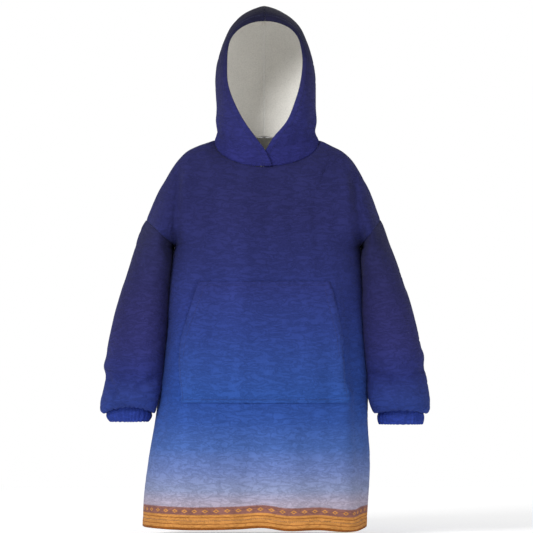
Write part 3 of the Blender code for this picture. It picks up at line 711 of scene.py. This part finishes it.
class Board:
    def __init__(self, material):
        material.use_nodes = True
        self.tree = material.node_tree
        self.tree.nodes.clear()

    def node(self, kind, settings=None, inputs=None):
        made = self.tree.nodes.new(kind)
        for key, value in (settings or {}).items():
            if key == "stops":
                ramp = made.color_ramp
                while len(ramp.elements) > 1:
                    ramp.elements.remove(ramp.elements[-1])
                ramp.elements[0].position, ramp.elements[0].color = value[0]
                for position, colour in value[1:]:
                    ramp.elements.new(position).color = colour
            else:
                setattr(made, key, value)
        for key, value in (inputs or {}).items():
            if isinstance(value, Wire):
                self.tree.links.new(value.socket, made.inputs[key])
            else:
                made.inputs[key].default_value = value
        return made

    def make(self, kind, settings=None, inputs=None, output=0):
        return Wire(self, self.node(kind, settings, inputs).outputs[output])

    def limit(self, value, low, high):
        # 0 below the low value, 1 above the high one
        return self.make("ShaderNodeMapRange", {"clamp": True, "interpolation_type": "SMOOTHSTEP"},
                         {0: value, 1: low, 2: high, 3: 0.0, 4: 1.0})

    def blend(self, share, a, b):
        return self.make("ShaderNodeMix", {"data_type": "RGBA"}, {0: share, 6: a, 7: b}, 2)

    def absolute(self, value):
        return self.make("ShaderNodeMath", {"operation": "ABSOLUTE"}, {0: value})

    def stretched(self, place, amounts):
        return self.make("ShaderNodeVectorMath", {"operation": "MULTIPLY"}, {0: place, 1: amounts})

    def noise(self, place, scale, detail):
        return self.make("ShaderNodeTexNoise", None, {"Vector": place, "Scale": scale, "Detail": detail})

    def finish(self, inputs):
        shader = self.node("ShaderNodeBsdfPrincipled", None, inputs)
        self.tree.links.new(shader.outputs[0], self.node("ShaderNodeOutputMaterial").inputs[0])

    def scaled(self, colour, amount):
        colour = colour if isinstance(colour, Wire) else colour[:3]
        return self.make("ShaderNodeVectorMath", {"operation": "SCALE"}, {0: colour, 3: amount})


def paint(red, green, blue):
    # a colour as a screen shows it, 0 to 255, made linear
    made = []
    for value in (red, green, blue):
        value = value / 255.0
        made.append(value / 12.92 if value <= 0.04045 else ((value + 0.055) / 1.055) ** 2.4)
    return (*made, 1.0)


fabric = {
    "roughness": 0.92,
    "specular": 0.08,
    "sheen": 0.03,
    "fleeceSheen": 0.15,
    "sheenRoughness": 0.45,
    "paintedStreakScale": (13.0, 13.0, 1.9),
    "creaseScale": (30.0, 30.0, 92.0),
    "creaseBump": 0.9,
    "creasePaintedShade": 0.16,
    "napBump": 0.16,
    "paintedStreakLight": 0.26,
    "mottle": 0.17,
}

# height, colour on a screen
bodyDye = (
    (-0.850, (172, 163, 182)),
    (-0.820, (138, 148, 184)),
    (-0.776, (109, 127, 181)),
    (-0.720, (72, 102, 169)),
    (-0.660, (52, 83, 157)),
    (-0.600, (42, 72, 147)),
    (-0.500, (44, 66, 138)),
    (-0.390, (46, 58, 126)),
    (-0.290, (44, 50, 108)),
    (-0.180, (43, 45, 97)),
    (0.000, (43, 44, 92)),
)
pocketDye = (
    (-0.614, (46, 80, 154)),
    (-0.560, (48, 77, 150)),
    (-0.450, (47, 65, 135)),
    (-0.340, (46, 54, 117)),
)
sleeveDye = (
    (-0.645, (42, 62, 134)),
    (-0.605, (46, 62, 130)),
    (-0.550, (43, 51, 115)),
    (-0.480, (47, 49, 106)),
    (-0.400, (45, 45, 96)),
    (-0.200, (41, 42, 82)),
)
cuffDye = (
    (-0.675, (46, 66, 150)),
    (-0.620, (44, 62, 142)),
)
hoodDye = (
    (-0.060, (46, 48, 114)),
    (0.050, (46, 48, 108)),
    (0.150, (45, 45, 92)),
    (0.240, (38, 38, 68)),
    (0.325, (26, 25, 42)),
)

hemBorder = {
    "brownTop": 0.052,      # heights above the hem, along the cloth
    "ochreTop": 0.034,
    "rim": 0.0045,
    "lozengePitch": 0.026,
    "lozengeHalf": (0.0085, 0.0048),
    "lozengeHeight": 0.0425,
    "stripes": (0.0275, 0.0120),
    "stripeHalf": 0.0009,
    "bandEdge": 0.0008,
    "fadeEdge": 0.002,
    "brown": (142, 97, 88),
    "ochre": (206, 143, 76),
    "stripe": (158, 98, 50),
    "rimColour": (148, 88, 34),
}


def plushCloth(name, dye, border=False):
    material = bpy.data.materials.new(name)
    board = Board(material)
    place = board.make("ShaderNodeTexCoord", output=3)
    split = board.node("ShaderNodeSeparateXYZ", None, {0: place})
    height = Wire(board, split.outputs[2])
    low, high = dye[0][0], dye[-1][0]
    stops = [((z - low) / (high - low), paint(*colour)) for z, colour in dye]
    share = board.make("ShaderNodeMapRange", {"clamp": True},
                       {0: height, 1: low, 2: high, 3: 0.0, 4: 1.0})
    colour = board.make("ShaderNodeValToRGB", {"stops": stops}, {0: share})
    if border:
        colour = borderColour(board, colour)
    # painted light and shade: soft vertical streaks, lighter and darker, stretched up the cloth
    paintedStreakLight = board.noise(board.stretched(place, fabric["paintedStreakScale"]), 1.0, 3.0)
    crease = board.make("ShaderNodeTexNoise", None, {
        "Vector": board.stretched(place, fabric["creaseScale"]), "Scale": 1.0, "Detail": 4.0,
        "Roughness": 0.6, "Distortion": 0.9})
    nap = board.noise(place, 620.0, 2.0)
    tuft = board.noise(place, 210.0, 3.0)
    line = board.limit(board.absolute(crease - 0.5), 0.0, 0.075)
    toneAndPaintedShading = (1.0 + (paintedStreakLight - 0.5) * 2.0 * fabric["paintedStreakLight"]) * (1.0 + (tuft - 0.5) * 2.0 * fabric["mottle"])
    # painted shade: the colour is darker along the crease lines, the same lines that make the bump
    toneAndPaintedShading = toneAndPaintedShading * (1.0 - fabric["creasePaintedShade"] + fabric["creasePaintedShade"] * line)
    colour = board.scaled(colour, toneAndPaintedShading)
    relief = line * fabric["creaseBump"] + tuft * 0.35 + nap * fabric["napBump"]
    bump = board.make("ShaderNodeBump", None, {"Height": relief, "Strength": 0.6, "Distance": 0.0016})
    finishShader(board, colour, bump, fabric["sheen"])
    return material


def borderColour(board, colour):
    # a woven edge: a brown band with small lozenges over an ochre band with two pinstripes
    b = hemBorder
    flat = board.node("ShaderNodeUVMap", {"uv_map": "cloth"})
    split = board.node("ShaderNodeSeparateXYZ", None, {0: Wire(board, flat.outputs[0])})
    across, up = Wire(board, split.outputs[0]), Wire(board, split.outputs[1])
    wander = board.make("ShaderNodeTexNoise", None, {"Vector": Wire(board, flat.outputs[0]), "Scale": 260.0})
    up = up + (wander - 0.5) * 0.0012
    cell = board.make("ShaderNodeMath", {"operation": "PINGPONG"}, {0: across, 1: b["lozengePitch"] / 2.0})
    halfWide, halfTall = b["lozengeHalf"]
    rise = board.absolute(up - b["lozengeHeight"])
    lozenge = 1.0 - board.limit(cell / halfWide + rise / halfTall, 0.86, 1.0)
    dot = 1.0 - board.limit(cell / (halfWide * 0.42) + rise / (halfTall * 0.42), 0.8, 1.05)
    brown = board.blend(lozenge - dot, paint(*b["brown"]), paint(*b["ochre"]))
    ochre = paint(*b["ochre"])
    for stripe in b["stripes"]:
        near = board.absolute(up - stripe)
        mask = 1.0 - board.limit(near, b["stripeHalf"] * 0.6, b["stripeHalf"] * 1.5)
        ochre = board.blend(mask, ochre, paint(*b["stripe"]))
    rim = 1.0 - board.limit(up, b["rim"] * 0.6, b["rim"] * 1.3)
    ochre = board.blend(rim, ochre, paint(*b["rimColour"]))
    soft, softer = b["bandEdge"], b["fadeEdge"]
    band = board.blend(board.limit(up, b["ochreTop"] - soft, b["ochreTop"] + soft), ochre, brown)
    return board.blend(board.limit(up, b["brownTop"] - softer, b["brownTop"] + softer), band, colour)


def finishShader(board, colour, bump, sheen):
    board.finish({
        "Base Color": colour, "Normal": bump, "Roughness": fabric["roughness"],
        "Specular IOR Level": fabric["specular"], "Sheen Weight": sheen,
        "Sheen Roughness": fabric["sheenRoughness"]})


def fleeceCloth(name, colour):
    # pale knitted fleece: small soft curls
    material = bpy.data.materials.new(name)
    board = Board(material)
    place = board.make("ShaderNodeTexCoord", output=3)
    curl = board.make("ShaderNodeTexVoronoi", {"feature": "SMOOTH_F1"},
                      {"Vector": place, "Scale": 330.0, "Smoothness": 0.7})
    broad = board.noise(place, 26.0, 3.0)
    fine = board.noise(place, 800.0, 2.0)
    # painted shade: the colour is darker in the hollows between the curls; the broad part is random tone
    toneAndPaintedShading = (1.06 - curl * 0.16) * (0.94 + broad * 0.12)
    base = board.scaled(paint(*colour), toneAndPaintedShading)
    relief = (1.0 - curl) * 0.7 + broad * 0.5 + fine * 0.2
    bump = board.make("ShaderNodeBump", None, {"Height": relief, "Strength": 0.5, "Distance": 0.0018})
    finishShader(board, base, bump, fabric["fleeceSheen"])
    return material


def threadCloth(name, colour):
    material = bpy.data.materials.new(name)
    board = Board(material)
    place = board.make("ShaderNodeTexCoord", output=3)
    twist = board.make("ShaderNodeTexNoise", None, {"Vector": place, "Scale": 1500.0})
    base = board.scaled(paint(*colour), 0.8 + twist * 0.4)
    bump = board.make("ShaderNodeBump", None, {"Height": twist, "Strength": 0.4, "Distance": 0.0004})
    board.finish({"Base Color": base, "Normal": bump, "Roughness": 0.6})
    return material


clothBody = plushCloth("bodyPlush", bodyDye, border=True)
clothPocket = plushCloth("pocketPlush", pocketDye)
clothSleeve = plushCloth("sleevePlush", sleeveDye)
clothCuff = plushCloth("cuffPlush", cuffDye)
clothHood = plushCloth("hoodPlush", hoodDye)
fleeceBack = fleeceCloth("fleeceBack", (176, 174, 168))
fleeceLining = fleeceCloth("hoodFleece", (236, 234, 229))
thread = threadCloth("thread", (38, 42, 92))
print("materials made")

middleOfBody = (0.0, 0.0, -0.45)
sheets = {}


def addToScene(name, mesh):
    thing = bpy.data.objects.new(name, mesh)
    bpy.context.scene.collection.objects.link(thing)
    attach(thing, "root")
    return thing


def finishPiece(piece, materials, node, walls=None):
    # the mesh of one cut piece, and the CAD node that it stands for
    outer, inner, edges = walls or (piece.outer(), piece.inner(), piece.seams)
    name = piece.name if len(materials) > 1 else piece.name + "Lining"
    mesh = clothMesh(name, pulledBack(outer, edges), pulledBack(inner, edges), piece, materials)
    thing = addToScene(name, mesh)
    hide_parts(node)
    sheets[name] = thing


# Under the arms the body's back swells out and the sleeve's front swells in,
# so that no light shows between them.
underarm = {
    "top": -0.248,
    "bottom": -0.625,
    "out": 0.0068,
    "from": 0.036,          # how far behind or in front of the middle
    "reach": 0.022,
    "fade": (0.010, 0.06),  # at the top, at the bottom
}


def underarmSwell(piece, way):
    u = underarm
    x, y, z = piece.grid[..., 0], piece.grid[..., 1], piece.grid[..., 2]
    level = smoothStep((u["top"] - z) / u["fade"][0]) * smoothStep((z - u["bottom"]) / u["fade"][1])
    place = np.exp(-((y - way * u["from"]) / u["reach"]) ** 2)
    faces = smoothStep((way * np.sign(x) * piece.normal[..., 0] - 0.2) / 0.4)
    return u["out"] * level * place * faces


# The body's two panels

bodyCreases = {
    "front": (
        (-0.157, -0.331, -0.204, -0.507, 0.0045, -0.0042),
        (0.157, -0.331, 0.189, -0.507, 0.0045, -0.0042),
        (-0.203, -0.507, -0.197, -0.612, 0.0040, -0.0022),
        (0.189, -0.507, 0.192, -0.612, 0.0040, -0.0022),
        (-0.150, -0.150, -0.105, -0.215, 0.010, -0.0018),
        (0.165, -0.140, 0.130, -0.215, 0.010, -0.0018),
        (-0.190, -0.250, -0.120, -0.262, 0.009, -0.0020),
        (0.200, -0.262, 0.130, -0.285, 0.009, -0.0020),
        (-0.206, -0.080, -0.211, -0.235, 0.006, -0.0035),
        (0.217, -0.095, 0.231, -0.230, 0.006, -0.0035),
        (-0.050, -0.090, -0.062, -0.300, 0.011, 0.0016),
        (0.010, -0.110, 0.004, -0.310, 0.010, -0.0014),
        (0.105, -0.110, 0.112, -0.300, 0.010, 0.0015),
        (-0.135, -0.100, -0.140, -0.300, 0.010, 0.0015),
        (-0.160, -0.660, -0.176, -0.860, 0.012, -0.0030),
        (-0.090, -0.650, -0.098, -0.880, 0.012, -0.0022),
        (0.020, -0.660, 0.026, -0.860, 0.012, 0.0022),
        (0.118, -0.640, 0.134, -0.880, 0.012, -0.0028),
        (0.224, -0.420, 0.238, -0.640, 0.010, 0.0035),
        (-0.225, -0.420, -0.245, -0.700, 0.012, -0.0030),
    ),
    "back": (
        (-0.080, -0.100, -0.090, -0.360, 0.012, -0.0018),
        (0.010, -0.110, 0.016, -0.420, 0.012, 0.0018),
        (0.110, -0.120, 0.120, -0.340, 0.012, -0.0018),
        (-0.110, -0.560, -0.130, -0.880, 0.013, -0.0030),
        (0.080, -0.600, 0.092, -0.880, 0.013, -0.0028),
        (-0.030, -0.620, -0.032, -0.880, 0.013, 0.0024),
    ),
}

sewn = {}
k = hoodie["detail"]
for side in ("front", "back"):
    grid = bodyGrid(side)
    piece = Piece(side + "Panel", grid, False, middleOfBody, ("top", "start", "end"))
    rows, columns = grid.shape[:2]
    fromSeam = np.minimum(np.arange(columns), columns - 1 - np.arange(columns)) / k / 2.5
    fromTop = (rows - 1 - np.arange(rows)) / k / 2.0
    fade = smoothStep(fromSeam)[None, :] * smoothStep(fromTop)[:, None]
    # the large folds move the form itself, as in the solids
    piece.grid = piece.grid + piece.normal * (foldHeights(grid, piece.normal, bodyFolds) * fade)[..., None]
    normal = gridNormals(piece.grid, False)
    piece.normal = -normal if piece.turned else normal
    piece.far = edgeDistances(piece.grid, False)
    piece.v = piece.far["foot"]
    sewn[side] = piece
for hand, word in ((-1, "right"), (1, "left")):
    sewn["sleeve" + word] = Piece(word + "Sleeve", sleeveGrid(hand), True, None, ("foot", "top"))
    sewn["cuff" + word] = Piece(word + "Cuff", cuffGrid(hand), True, None, ("foot",))
    sewn["hood" + word] = Piece(word + "Hood", hoodGrid(hand), False, (0.0, 0.03, 0.12), ("foot", "top", "end"))
shared = sharedDirections(sewn.values())
for piece in sewn.values():
    piece.joinSeams(shared)
print("plain forms")

panels = {}
for side in ("front", "back"):
    piece = sewn[side]
    near = piece.nearSeam(0.02)
    piece.lift += foldHeights(piece.grid, piece.normal, bodyCreases) * near
    if side == "back":
        piece.lift += underarmSwell(piece, 1.0)
    piece.lift += crinkles(piece.u, piece.v, 11 if side == "front" else 41, hoodie["crinkle"]) * near
    hemBand = smoothStep(1.0 - (piece.far["foot"] - bodyForm["hemWidth"]) / hoodie["hemEdge"])
    piece.lift += 0.0007 * hemBand
    piece.stitchedLine("foot", bodyForm["hemWidth"])
    piece.wall += 0.0015 * hemBand
    piece.seamDips()
    panels[side] = piece
    finishPiece(piece, (clothBody, fleeceBack), side)
    print("panel", side)

# Sleeves and cuffs

sleeveCreases = {
    -1: {
        "front": (
            (-0.372, -0.545, -0.300, -0.560, 0.009, -0.0055),
            (-0.258, -0.562, -0.290, -0.574, 0.011, -0.0090),
            (-0.290, -0.574, -0.340, -0.580, 0.008, -0.0035),
            (-0.368, -0.562, -0.350, -0.592, 0.007, -0.0055),
            (-0.360, -0.605, -0.290, -0.598, 0.010, 0.0030),
            (-0.375, -0.500, -0.320, -0.520, 0.010, -0.0030),
            (-0.250, -0.470, -0.300, -0.500, 0.010, -0.0030),
            (-0.380, -0.590, -0.340, -0.600, 0.007, -0.0030),
            (-0.360, -0.430, -0.300, -0.470, 0.012, -0.0030),
            (-0.240, -0.330, -0.300, -0.400, 0.014, -0.0030),
        ),
        "back": (
            (-0.370, -0.540, -0.300, -0.560, 0.009, -0.0040),
            (-0.262, -0.555, -0.320, -0.585, 0.009, -0.0035),
            (-0.365, -0.470, -0.300, -0.500, 0.011, -0.0030),
        ),
    },
    1: {
        "front": (
            (0.258, -0.552, 0.296, -0.560, 0.011, -0.0085),
            (0.296, -0.560, 0.340, -0.566, 0.008, -0.0040),
            (0.382, -0.540, 0.330, -0.556, 0.008, -0.0055),
            (0.350, -0.600, 0.284, -0.594, 0.010, 0.0030),
            (0.380, -0.505, 0.320, -0.525, 0.010, -0.0030),
            (0.246, -0.480, 0.300, -0.505, 0.010, -0.0030),
            (0.385, -0.590, 0.340, -0.602, 0.007, -0.0030),
            (0.360, -0.430, 0.300, -0.465, 0.012, -0.0030),
            (0.245, -0.330, 0.300, -0.400, 0.014, -0.0030),
        ),
        "back": (
            (0.375, -0.545, 0.300, -0.560, 0.009, -0.0040),
            (0.262, -0.560, 0.320, -0.585, 0.009, -0.0035),
            (0.365, -0.470, 0.300, -0.500, 0.011, -0.0030),
        ),
    },
}


def gathers(piece, hand):
    # small uneven gathers round a tube, where the sleeve is drawn in
    around = np.arange(piece.grid.shape[1]) / piece.grid.shape[1] * 2.0 * math.pi
    return np.sin(around * 31 + 2.2 * np.sin(around * 5 + hand))[None, :]


for hand, word in ((-1, "right"), (1, "left")):
    piece = sewn["sleeve" + word]
    near = piece.nearSeam(0.02)
    piece.lift += foldHeights(piece.grid, piece.normal, sleeveCreases[hand]) * near
    piece.lift += crinkles(piece.u, piece.v, 61 if hand < 0 else 71, hoodie["crinkle"]) * near
    piece.lift += underarmSwell(piece, -1.0)
    nearCuff = np.exp(-((piece.far["top"] - 0.004) / 0.014) ** 2)
    piece.lift += sleeveForm["gather"] * gathers(piece, hand) * nearCuff
    piece.seamDips()
    finishPiece(piece, (clothSleeve, fleeceBack), "sleeve_" + word)

    piece = sewn["cuff" + word]
    piece.lift += cuffForm["gather"] * gathers(piece, hand)
    piece.lift += crinkles(piece.u, piece.v, 81, cuffForm["crinkle"])
    piece.seamDips()
    finishPiece(piece, (clothCuff, fleeceBack), "cuff_" + word)
print("sleeves and cuffs")

# Hood, with its turned hem along the face, and the lining inside it

hoodCreases = {
    -1: {
        "front": (
            (-0.105, -0.020, -0.112, 0.060, 0.008, -0.0025),
            (-0.060, -0.045, -0.085, 0.030, 0.008, -0.0018),
            (-0.104, 0.090, -0.110, 0.170, 0.008, -0.0015),
        ),
    },
    1: {
        "front": (
            (0.108, -0.018, 0.114, 0.060, 0.008, -0.0025),
            (0.062, -0.045, 0.085, 0.030, 0.008, -0.0018),
            (0.107, 0.090, 0.112, 0.170, 0.008, -0.0015),
        ),
    },
}

hoods = {}
for hand, word in ((-1, "right"), (1, "left")):
    piece = sewn["hood" + word]
    rows, columns = piece.grid.shape[:2]
    columnShare = np.interp(np.arange(columns) / k, np.arange(6), hoodForm["lapColumns"])
    rowShare = np.interp(np.arange(rows) / k, np.arange(5), hoodForm["lapRows"])
    seamColumns = np.interp(np.arange(columns) / k, np.arange(6), hoodForm["seamColumns"])
    away = smoothStep(np.arange(rows) / k / 1.2)[:, None]
    columnShare = seamColumns[None, :] * (1 - away) + columnShare[None, :] * away
    shift = (-hand) * hoodForm["lapShift"] * rowShare[:, None] * columnShare
    piece.grid = piece.grid + piece.normal * shift[..., None]
    near = piece.nearSeam(0.015)
    piece.lift += foldHeights(piece.grid, piece.normal, hoodCreases[hand]) * near
    piece.lift += crinkles(piece.u, piece.v, 91 if hand < 0 else 101, hoodForm["crinkle"]) * near
    hem = smoothStep(1.0 - (piece.far["start"] - hoodForm["hemWidth"]) / hoodie["hemEdge"])
    piece.lift += 0.0008 * hem
    piece.stitchedLine("start", hoodForm["hemWidth"])
    piece.wall += 0.0003 * hem
    piece.seamDips()
    hoods[hand] = piece
    finishPiece(piece, (clothHood, fleeceBack), "hood_" + word)

    depth = hoodie["wall"] + hoodForm["liningGap"]
    shell = piece.grid + piece.normal * (np.minimum(piece.lift, 0.0) * 0.8 - depth - 0.0004)[..., None]
    inside = shell - piece.normal * hoodForm["liningWall"]
    # a raised seam down the middle of the hood's inside, lower along the crown
    high, low, wide = hoodForm["liningSeam"]
    ridge = (high * np.exp(-(piece.far["end"] / wide) ** 2)
             + low * np.exp(-(piece.far["top"] / wide) ** 2))
    soft = crinkles(piece.u, piece.v, 111, hoodForm["liningCrinkle"])
    inside = inside - piece.normal * (ridge + soft * piece.nearSeam(0.01))[..., None]
    finishPiece(piece, (fleeceLining,), "hood_lining_" + word,
                (shell, inside, piece.seams + ("start",)))
print("hood and lining")

# The pocket, from the front's own points moved out

front = panels["front"]
heights = bodyHeights()
firstRow = int(np.argmin(np.abs(heights - pocketForm["bottom"])))
lastRow = int(np.argmin(np.abs(heights - pocketForm["top"])))
rowsIn = slice(firstRow, lastRow + 1)
columnsIn = slice(5 * k, front.grid.shape[1] - 5 * k)
base = front.outer()[rowsIn, columnsIn]
baseNormal = front.normal[rowsIn, columnsIn]
pocketPiece = Piece("pouchPocket", base, False, middleOfBody, ())
pocketPiece.turned = front.turned
far = pocketPiece.far
stitchIn = pocketForm["stitchIn"]
height = heights[rowsIn][:, None]
fromSide = np.minimum(far["start"], far["end"])
openPart = smoothStep((height - pocketForm["openingBottom"]) / 0.05)
openPart = openPart * smoothStep((pocketForm["top"] - height) / 0.03)
lift = pocketForm["lift"] * openPart * np.clip(1.0 - fromSide / 0.055, 0.0, 1.0)
inwards = smoothStep(np.minimum(np.minimum(far["foot"], far["top"]), fromSide) / 0.035)
lift = lift + pocketForm["slump"] * inwards * (0.5 + 0.5 * smoothStep(1.0 - far["foot"] / 0.16))
under = base + baseNormal * (pocketForm["gap"] + lift)[..., None]
wall = np.full(lift.shape, pocketForm["wall"])
sideHem = smoothStep(1.0 - (fromSide - pocketForm["hemWidth"]) / hoodie["hemEdge"]) * openPart
wall += 0.0008 * sideHem
wall -= 0.0010 * np.exp(-((fromSide - pocketForm["hemWidth"]) / 0.003) ** 2) * openPart
wall -= 0.0010 * np.exp(-((far["top"] - stitchIn["top"]) / 0.003) ** 2)
wall -= 0.0008 * np.exp(-((far["foot"] - stitchIn["foot"]) / 0.003) ** 2)
wall += crinkles(pocketPiece.u, pocketPiece.v, 131, hoodie["crinkle"]) * inwards
wall = np.maximum(wall, pocketForm["thinnest"])
over = under + baseNormal * wall[..., None]
finishPiece(pocketPiece, (clothPocket, fleeceBack), "pocket", (over, under, ()))
print("pocket")


# Stitches: one small thread loop repeated along each sewn line

stitching = {
    "pitch": 0.0046,
    "length": 0.0034,
    "radius": 0.00042,
    "stand": 0.0004,        # above the cloth
}


def stitchTree():
    tree = bpy.data.node_groups.new("stitchRow", "GeometryNodeTree")
    for name, kind in (("Geometry", "NodeSocketGeometry"), ("Pitch", "NodeSocketFloat"),
                       ("Length", "NodeSocketFloat"), ("Radius", "NodeSocketFloat"),
                       ("Thread", "NodeSocketMaterial")):
        tree.interface.new_socket(name, in_out="INPUT", socket_type=kind)
    tree.interface.new_socket("Geometry", in_out="OUTPUT", socket_type="NodeSocketGeometry")
    kinds = {
        "start": "NodeGroupInput", "end": "NodeGroupOutput", "curve": "GeometryNodeMeshToCurve",
        "resample": "GeometryNodeResampleCurve", "tangent": "GeometryNodeInputTangent",
        "align": "FunctionNodeAlignRotationToVector", "ball": "GeometryNodeMeshUVSphere",
        "half": "ShaderNodeMath", "size": "ShaderNodeCombineXYZ", "stretch": "GeometryNodeTransform",
        "place": "GeometryNodeInstanceOnPoints", "real": "GeometryNodeRealizeInstances",
        "colour": "GeometryNodeSetMaterial",
    }
    nodes = {name: tree.nodes.new(kind) for name, kind in kinds.items()}
    nodes["resample"].mode = "LENGTH"
    nodes["align"].axis = "Z"
    nodes["half"].operation = "MULTIPLY"
    nodes["half"].inputs[1].default_value = 0.5
    for name, value in (("Segments", 6), ("Rings", 5), ("Radius", 1.0)):
        nodes["ball"].inputs[name].default_value = value
    for source, output, target, socket in (
            ("start", "Geometry", "curve", 0), ("curve", 0, "resample", "Curve"),
            ("start", "Pitch", "resample", "Length"), ("start", "Length", "half", 0),
            ("start", "Radius", "size", 0), ("start", "Radius", "size", 1), ("half", 0, "size", 2),
            ("ball", 0, "stretch", "Geometry"), ("size", 0, "stretch", "Scale"),
            ("tangent", 0, "align", "Vector"), ("resample", 0, "place", "Points"),
            ("stretch", 0, "place", "Instance"), ("align", 0, "place", "Rotation"),
            ("place", 0, "real", 0), ("real", 0, "colour", "Geometry"),
            ("start", "Thread", "colour", "Material"), ("colour", 0, "end", 0)):
        tree.links.new(nodes[source].outputs[output], nodes[target].inputs[socket])
    return tree


def stitchRow(name, lines, material):
    points, edges = [], []
    for line in lines:
        first = len(points)
        points += [tuple(p) for p in line]
        edges += [(first + i, first + i + 1) for i in range(len(line) - 1)]
    mesh = bpy.data.meshes.new(name + "Path")
    mesh.from_pydata(points, edges, [])
    path = bpy.data.objects.new(name + "Path", mesh)
    bpy.context.scene.collection.objects.link(path)
    rule = path.modifiers.new("stitches", "NODES")
    tree = stitchTree()
    rule.node_group = tree
    values = {"Pitch": stitching["pitch"], "Length": stitching["length"],
              "Radius": stitching["radius"], "Thread": material}
    for item in tree.interface.items_tree:
        if item.item_type == "SOCKET" and item.in_out == "INPUT" and item.name in values:
            rule[item.identifier] = values[item.name]
    shown = path.evaluated_get(bpy.context.evaluated_depsgraph_get())
    made = bpy.data.meshes.new_from_object(shown)
    made.name = name
    for polygon in made.polygons:
        polygon.use_smooth = True
    bpy.data.objects.remove(path, do_unlink=True)
    addToScene(name, made)


def lineAt(surface, normal, distances, distance):
    # the points of each row (or column) that lie this far from the edge
    line = []
    for points, ways, far in zip(surface, normal, distances):
        order = np.argsort(far)
        line.append([np.interp(distance, far[order], (points + ways * stitching["stand"])[order, axis])
                     for axis in range(3)])
    return np.array(line)


hemLines = [lineAt(panels[side].outer().transpose(1, 0, 2), panels[side].normal.transpose(1, 0, 2),
                   panels[side].far["foot"].T, bodyForm["hemWidth"]) for side in ("front", "back")]
stitchRow("hemStitches", hemLines, thread)
faceLines = [lineAt(hoods[hand].outer(), hoods[hand].normal, hoods[hand].far["start"], hoodForm["hemWidth"])
             for hand in (-1, 1)]
stitchRow("hoodStitches", faceLines, thread)
pocketLines = [lineAt(over.transpose(1, 0, 2), baseNormal.transpose(1, 0, 2), far[edge].T,
                      stitchIn[edge])[3:-3] for edge in ("top", "foot")]
openRow = int(np.argmax(height[:, 0] > pocketForm["openingBottom"]))
for edge in ("start", "end"):
    for part, distance in ((slice(openRow, len(over) - 3), pocketForm["hemWidth"]),
                           (slice(2, openRow), stitchIn[edge])):
        pocketLines.append(lineAt(over[part], baseNormal[part], far[edge][part], distance))
stitchRow("pocketStitches", pocketLines, thread)
print("stitches")

# What each piece was cut to before it was sewn: width, length, and the flat area.
cutSizes = {
    "frontPanel": ((0.80, 0.95), 0.62),
    "backPanel": ((0.80, 0.97), 0.64),
    "pouchPocket": ((0.40, 0.285), 0.110),
}
for word in ("right", "left"):
    cutSizes[word + "Sleeve"] = ((0.50, 0.48), 0.207)
    cutSizes[word + "Cuff"] = ((0.31, 0.03), 0.009)
    cutSizes[word + "Hood"] = ((0.30, 0.40), 0.109)
    cutSizes[word + "HoodLining"] = ((0.30, 0.40), 0.104)
for name, thing in sheets.items():
    size, area = cutSizes[name]
    surface = sum(polygon.area for polygon in thing.data.polygons) / 2.0
    print(name, "half surface", round(surface, 4), "stated", area)

# Floor, light and camera

studio = {
    "floorHeight": -0.932,
    "floorSize": 6.0,
    "floorGlow": 0.30,
    "world": 0.47,           # light from all round
    "backdrop": 1.0,         # how bright the camera sees it
    # watts, place, size
    "key": (150.0, (-2.4, -4.0, 2.3), 1.6),
    "fill": (26.0, (2.6, -4.2, 0.2), 2.4),
    "rim": (40.0, (0.5, 3.6, 2.6), 2.0),
    "distance": 14.0,
    "frameWidth": 1.2632,
    "aim": (0.0059, -0.295),
}

floorMesh = bpy.data.meshes.new("floor")
half = studio["floorSize"] / 2.0
low = studio["floorHeight"]
floorMesh.from_pydata([(-half, -half, low), (half, -half, low), (half, half, low), (-half, half, low)], [],
                      [(0, 1, 2, 3)])
floor = bpy.data.objects.new("floor", floorMesh)
bpy.context.scene.collection.objects.link(floor)
floorPaint = bpy.data.materials.new("floorPaint")
board = Board(floorPaint)
grain = board.make("ShaderNodeTexNoise", None, {"Scale": 5.0})
shader = board.node("ShaderNodeBsdfPrincipled", None, {
    "Base Color": board.scaled((0.93, 0.93, 0.93), 0.98 + grain * 0.04), "Roughness": 0.85,
    "Emission Color": (1.0, 1.0, 1.0, 1.0), "Emission Strength": studio["floorGlow"]})
board.tree.links.new(shader.outputs[0], board.node("ShaderNodeOutputMaterial").inputs[0])
floorMesh.materials.append(floorPaint)

world = bpy.data.worlds.new("studio")
world.use_nodes = True
sky = world.node_tree
sky.nodes["Background"].inputs[0].default_value = (1.0, 1.0, 1.0, 1.0)
seen = sky.nodes.new("ShaderNodeLightPath")
level = sky.nodes.new("ShaderNodeMapRange")
level.inputs[3].default_value = studio["world"]
level.inputs[4].default_value = studio["backdrop"]
sky.links.new(seen.outputs["Is Camera Ray"], level.inputs[0])
sky.links.new(level.outputs[0], sky.nodes["Background"].inputs[1])
bpy.context.scene.world = world

for name in ("key", "fill", "rim"):
    power, place, size = studio[name]
    lamp = bpy.data.lights.new(name, "AREA")
    lamp.energy = power
    lamp.size = size
    holder = bpy.data.objects.new(name, lamp)
    holder.location = place
    holder.rotation_euler = (Vector(place) - Vector((0, 0, -0.3))).to_track_quat("Z", "Y").to_euler()
    bpy.context.scene.collection.objects.link(holder)

lens = bpy.data.cameras.new("camera")
lens.sensor_width = 36.0
lens.lens = 36.0 * studio["distance"] / studio["frameWidth"]
lens.clip_end = 100.0
camera = bpy.data.objects.new("camera", lens)
camera.location = (studio["aim"][0], -studio["distance"], studio["aim"][1])
camera.rotation_euler = (math.pi / 2.0, 0.0, 0.0)
bpy.context.scene.collection.objects.link(camera)
bpy.context.scene.camera = camera
bpy.context.scene.view_settings.view_transform = "Standard"
print("studio ready")
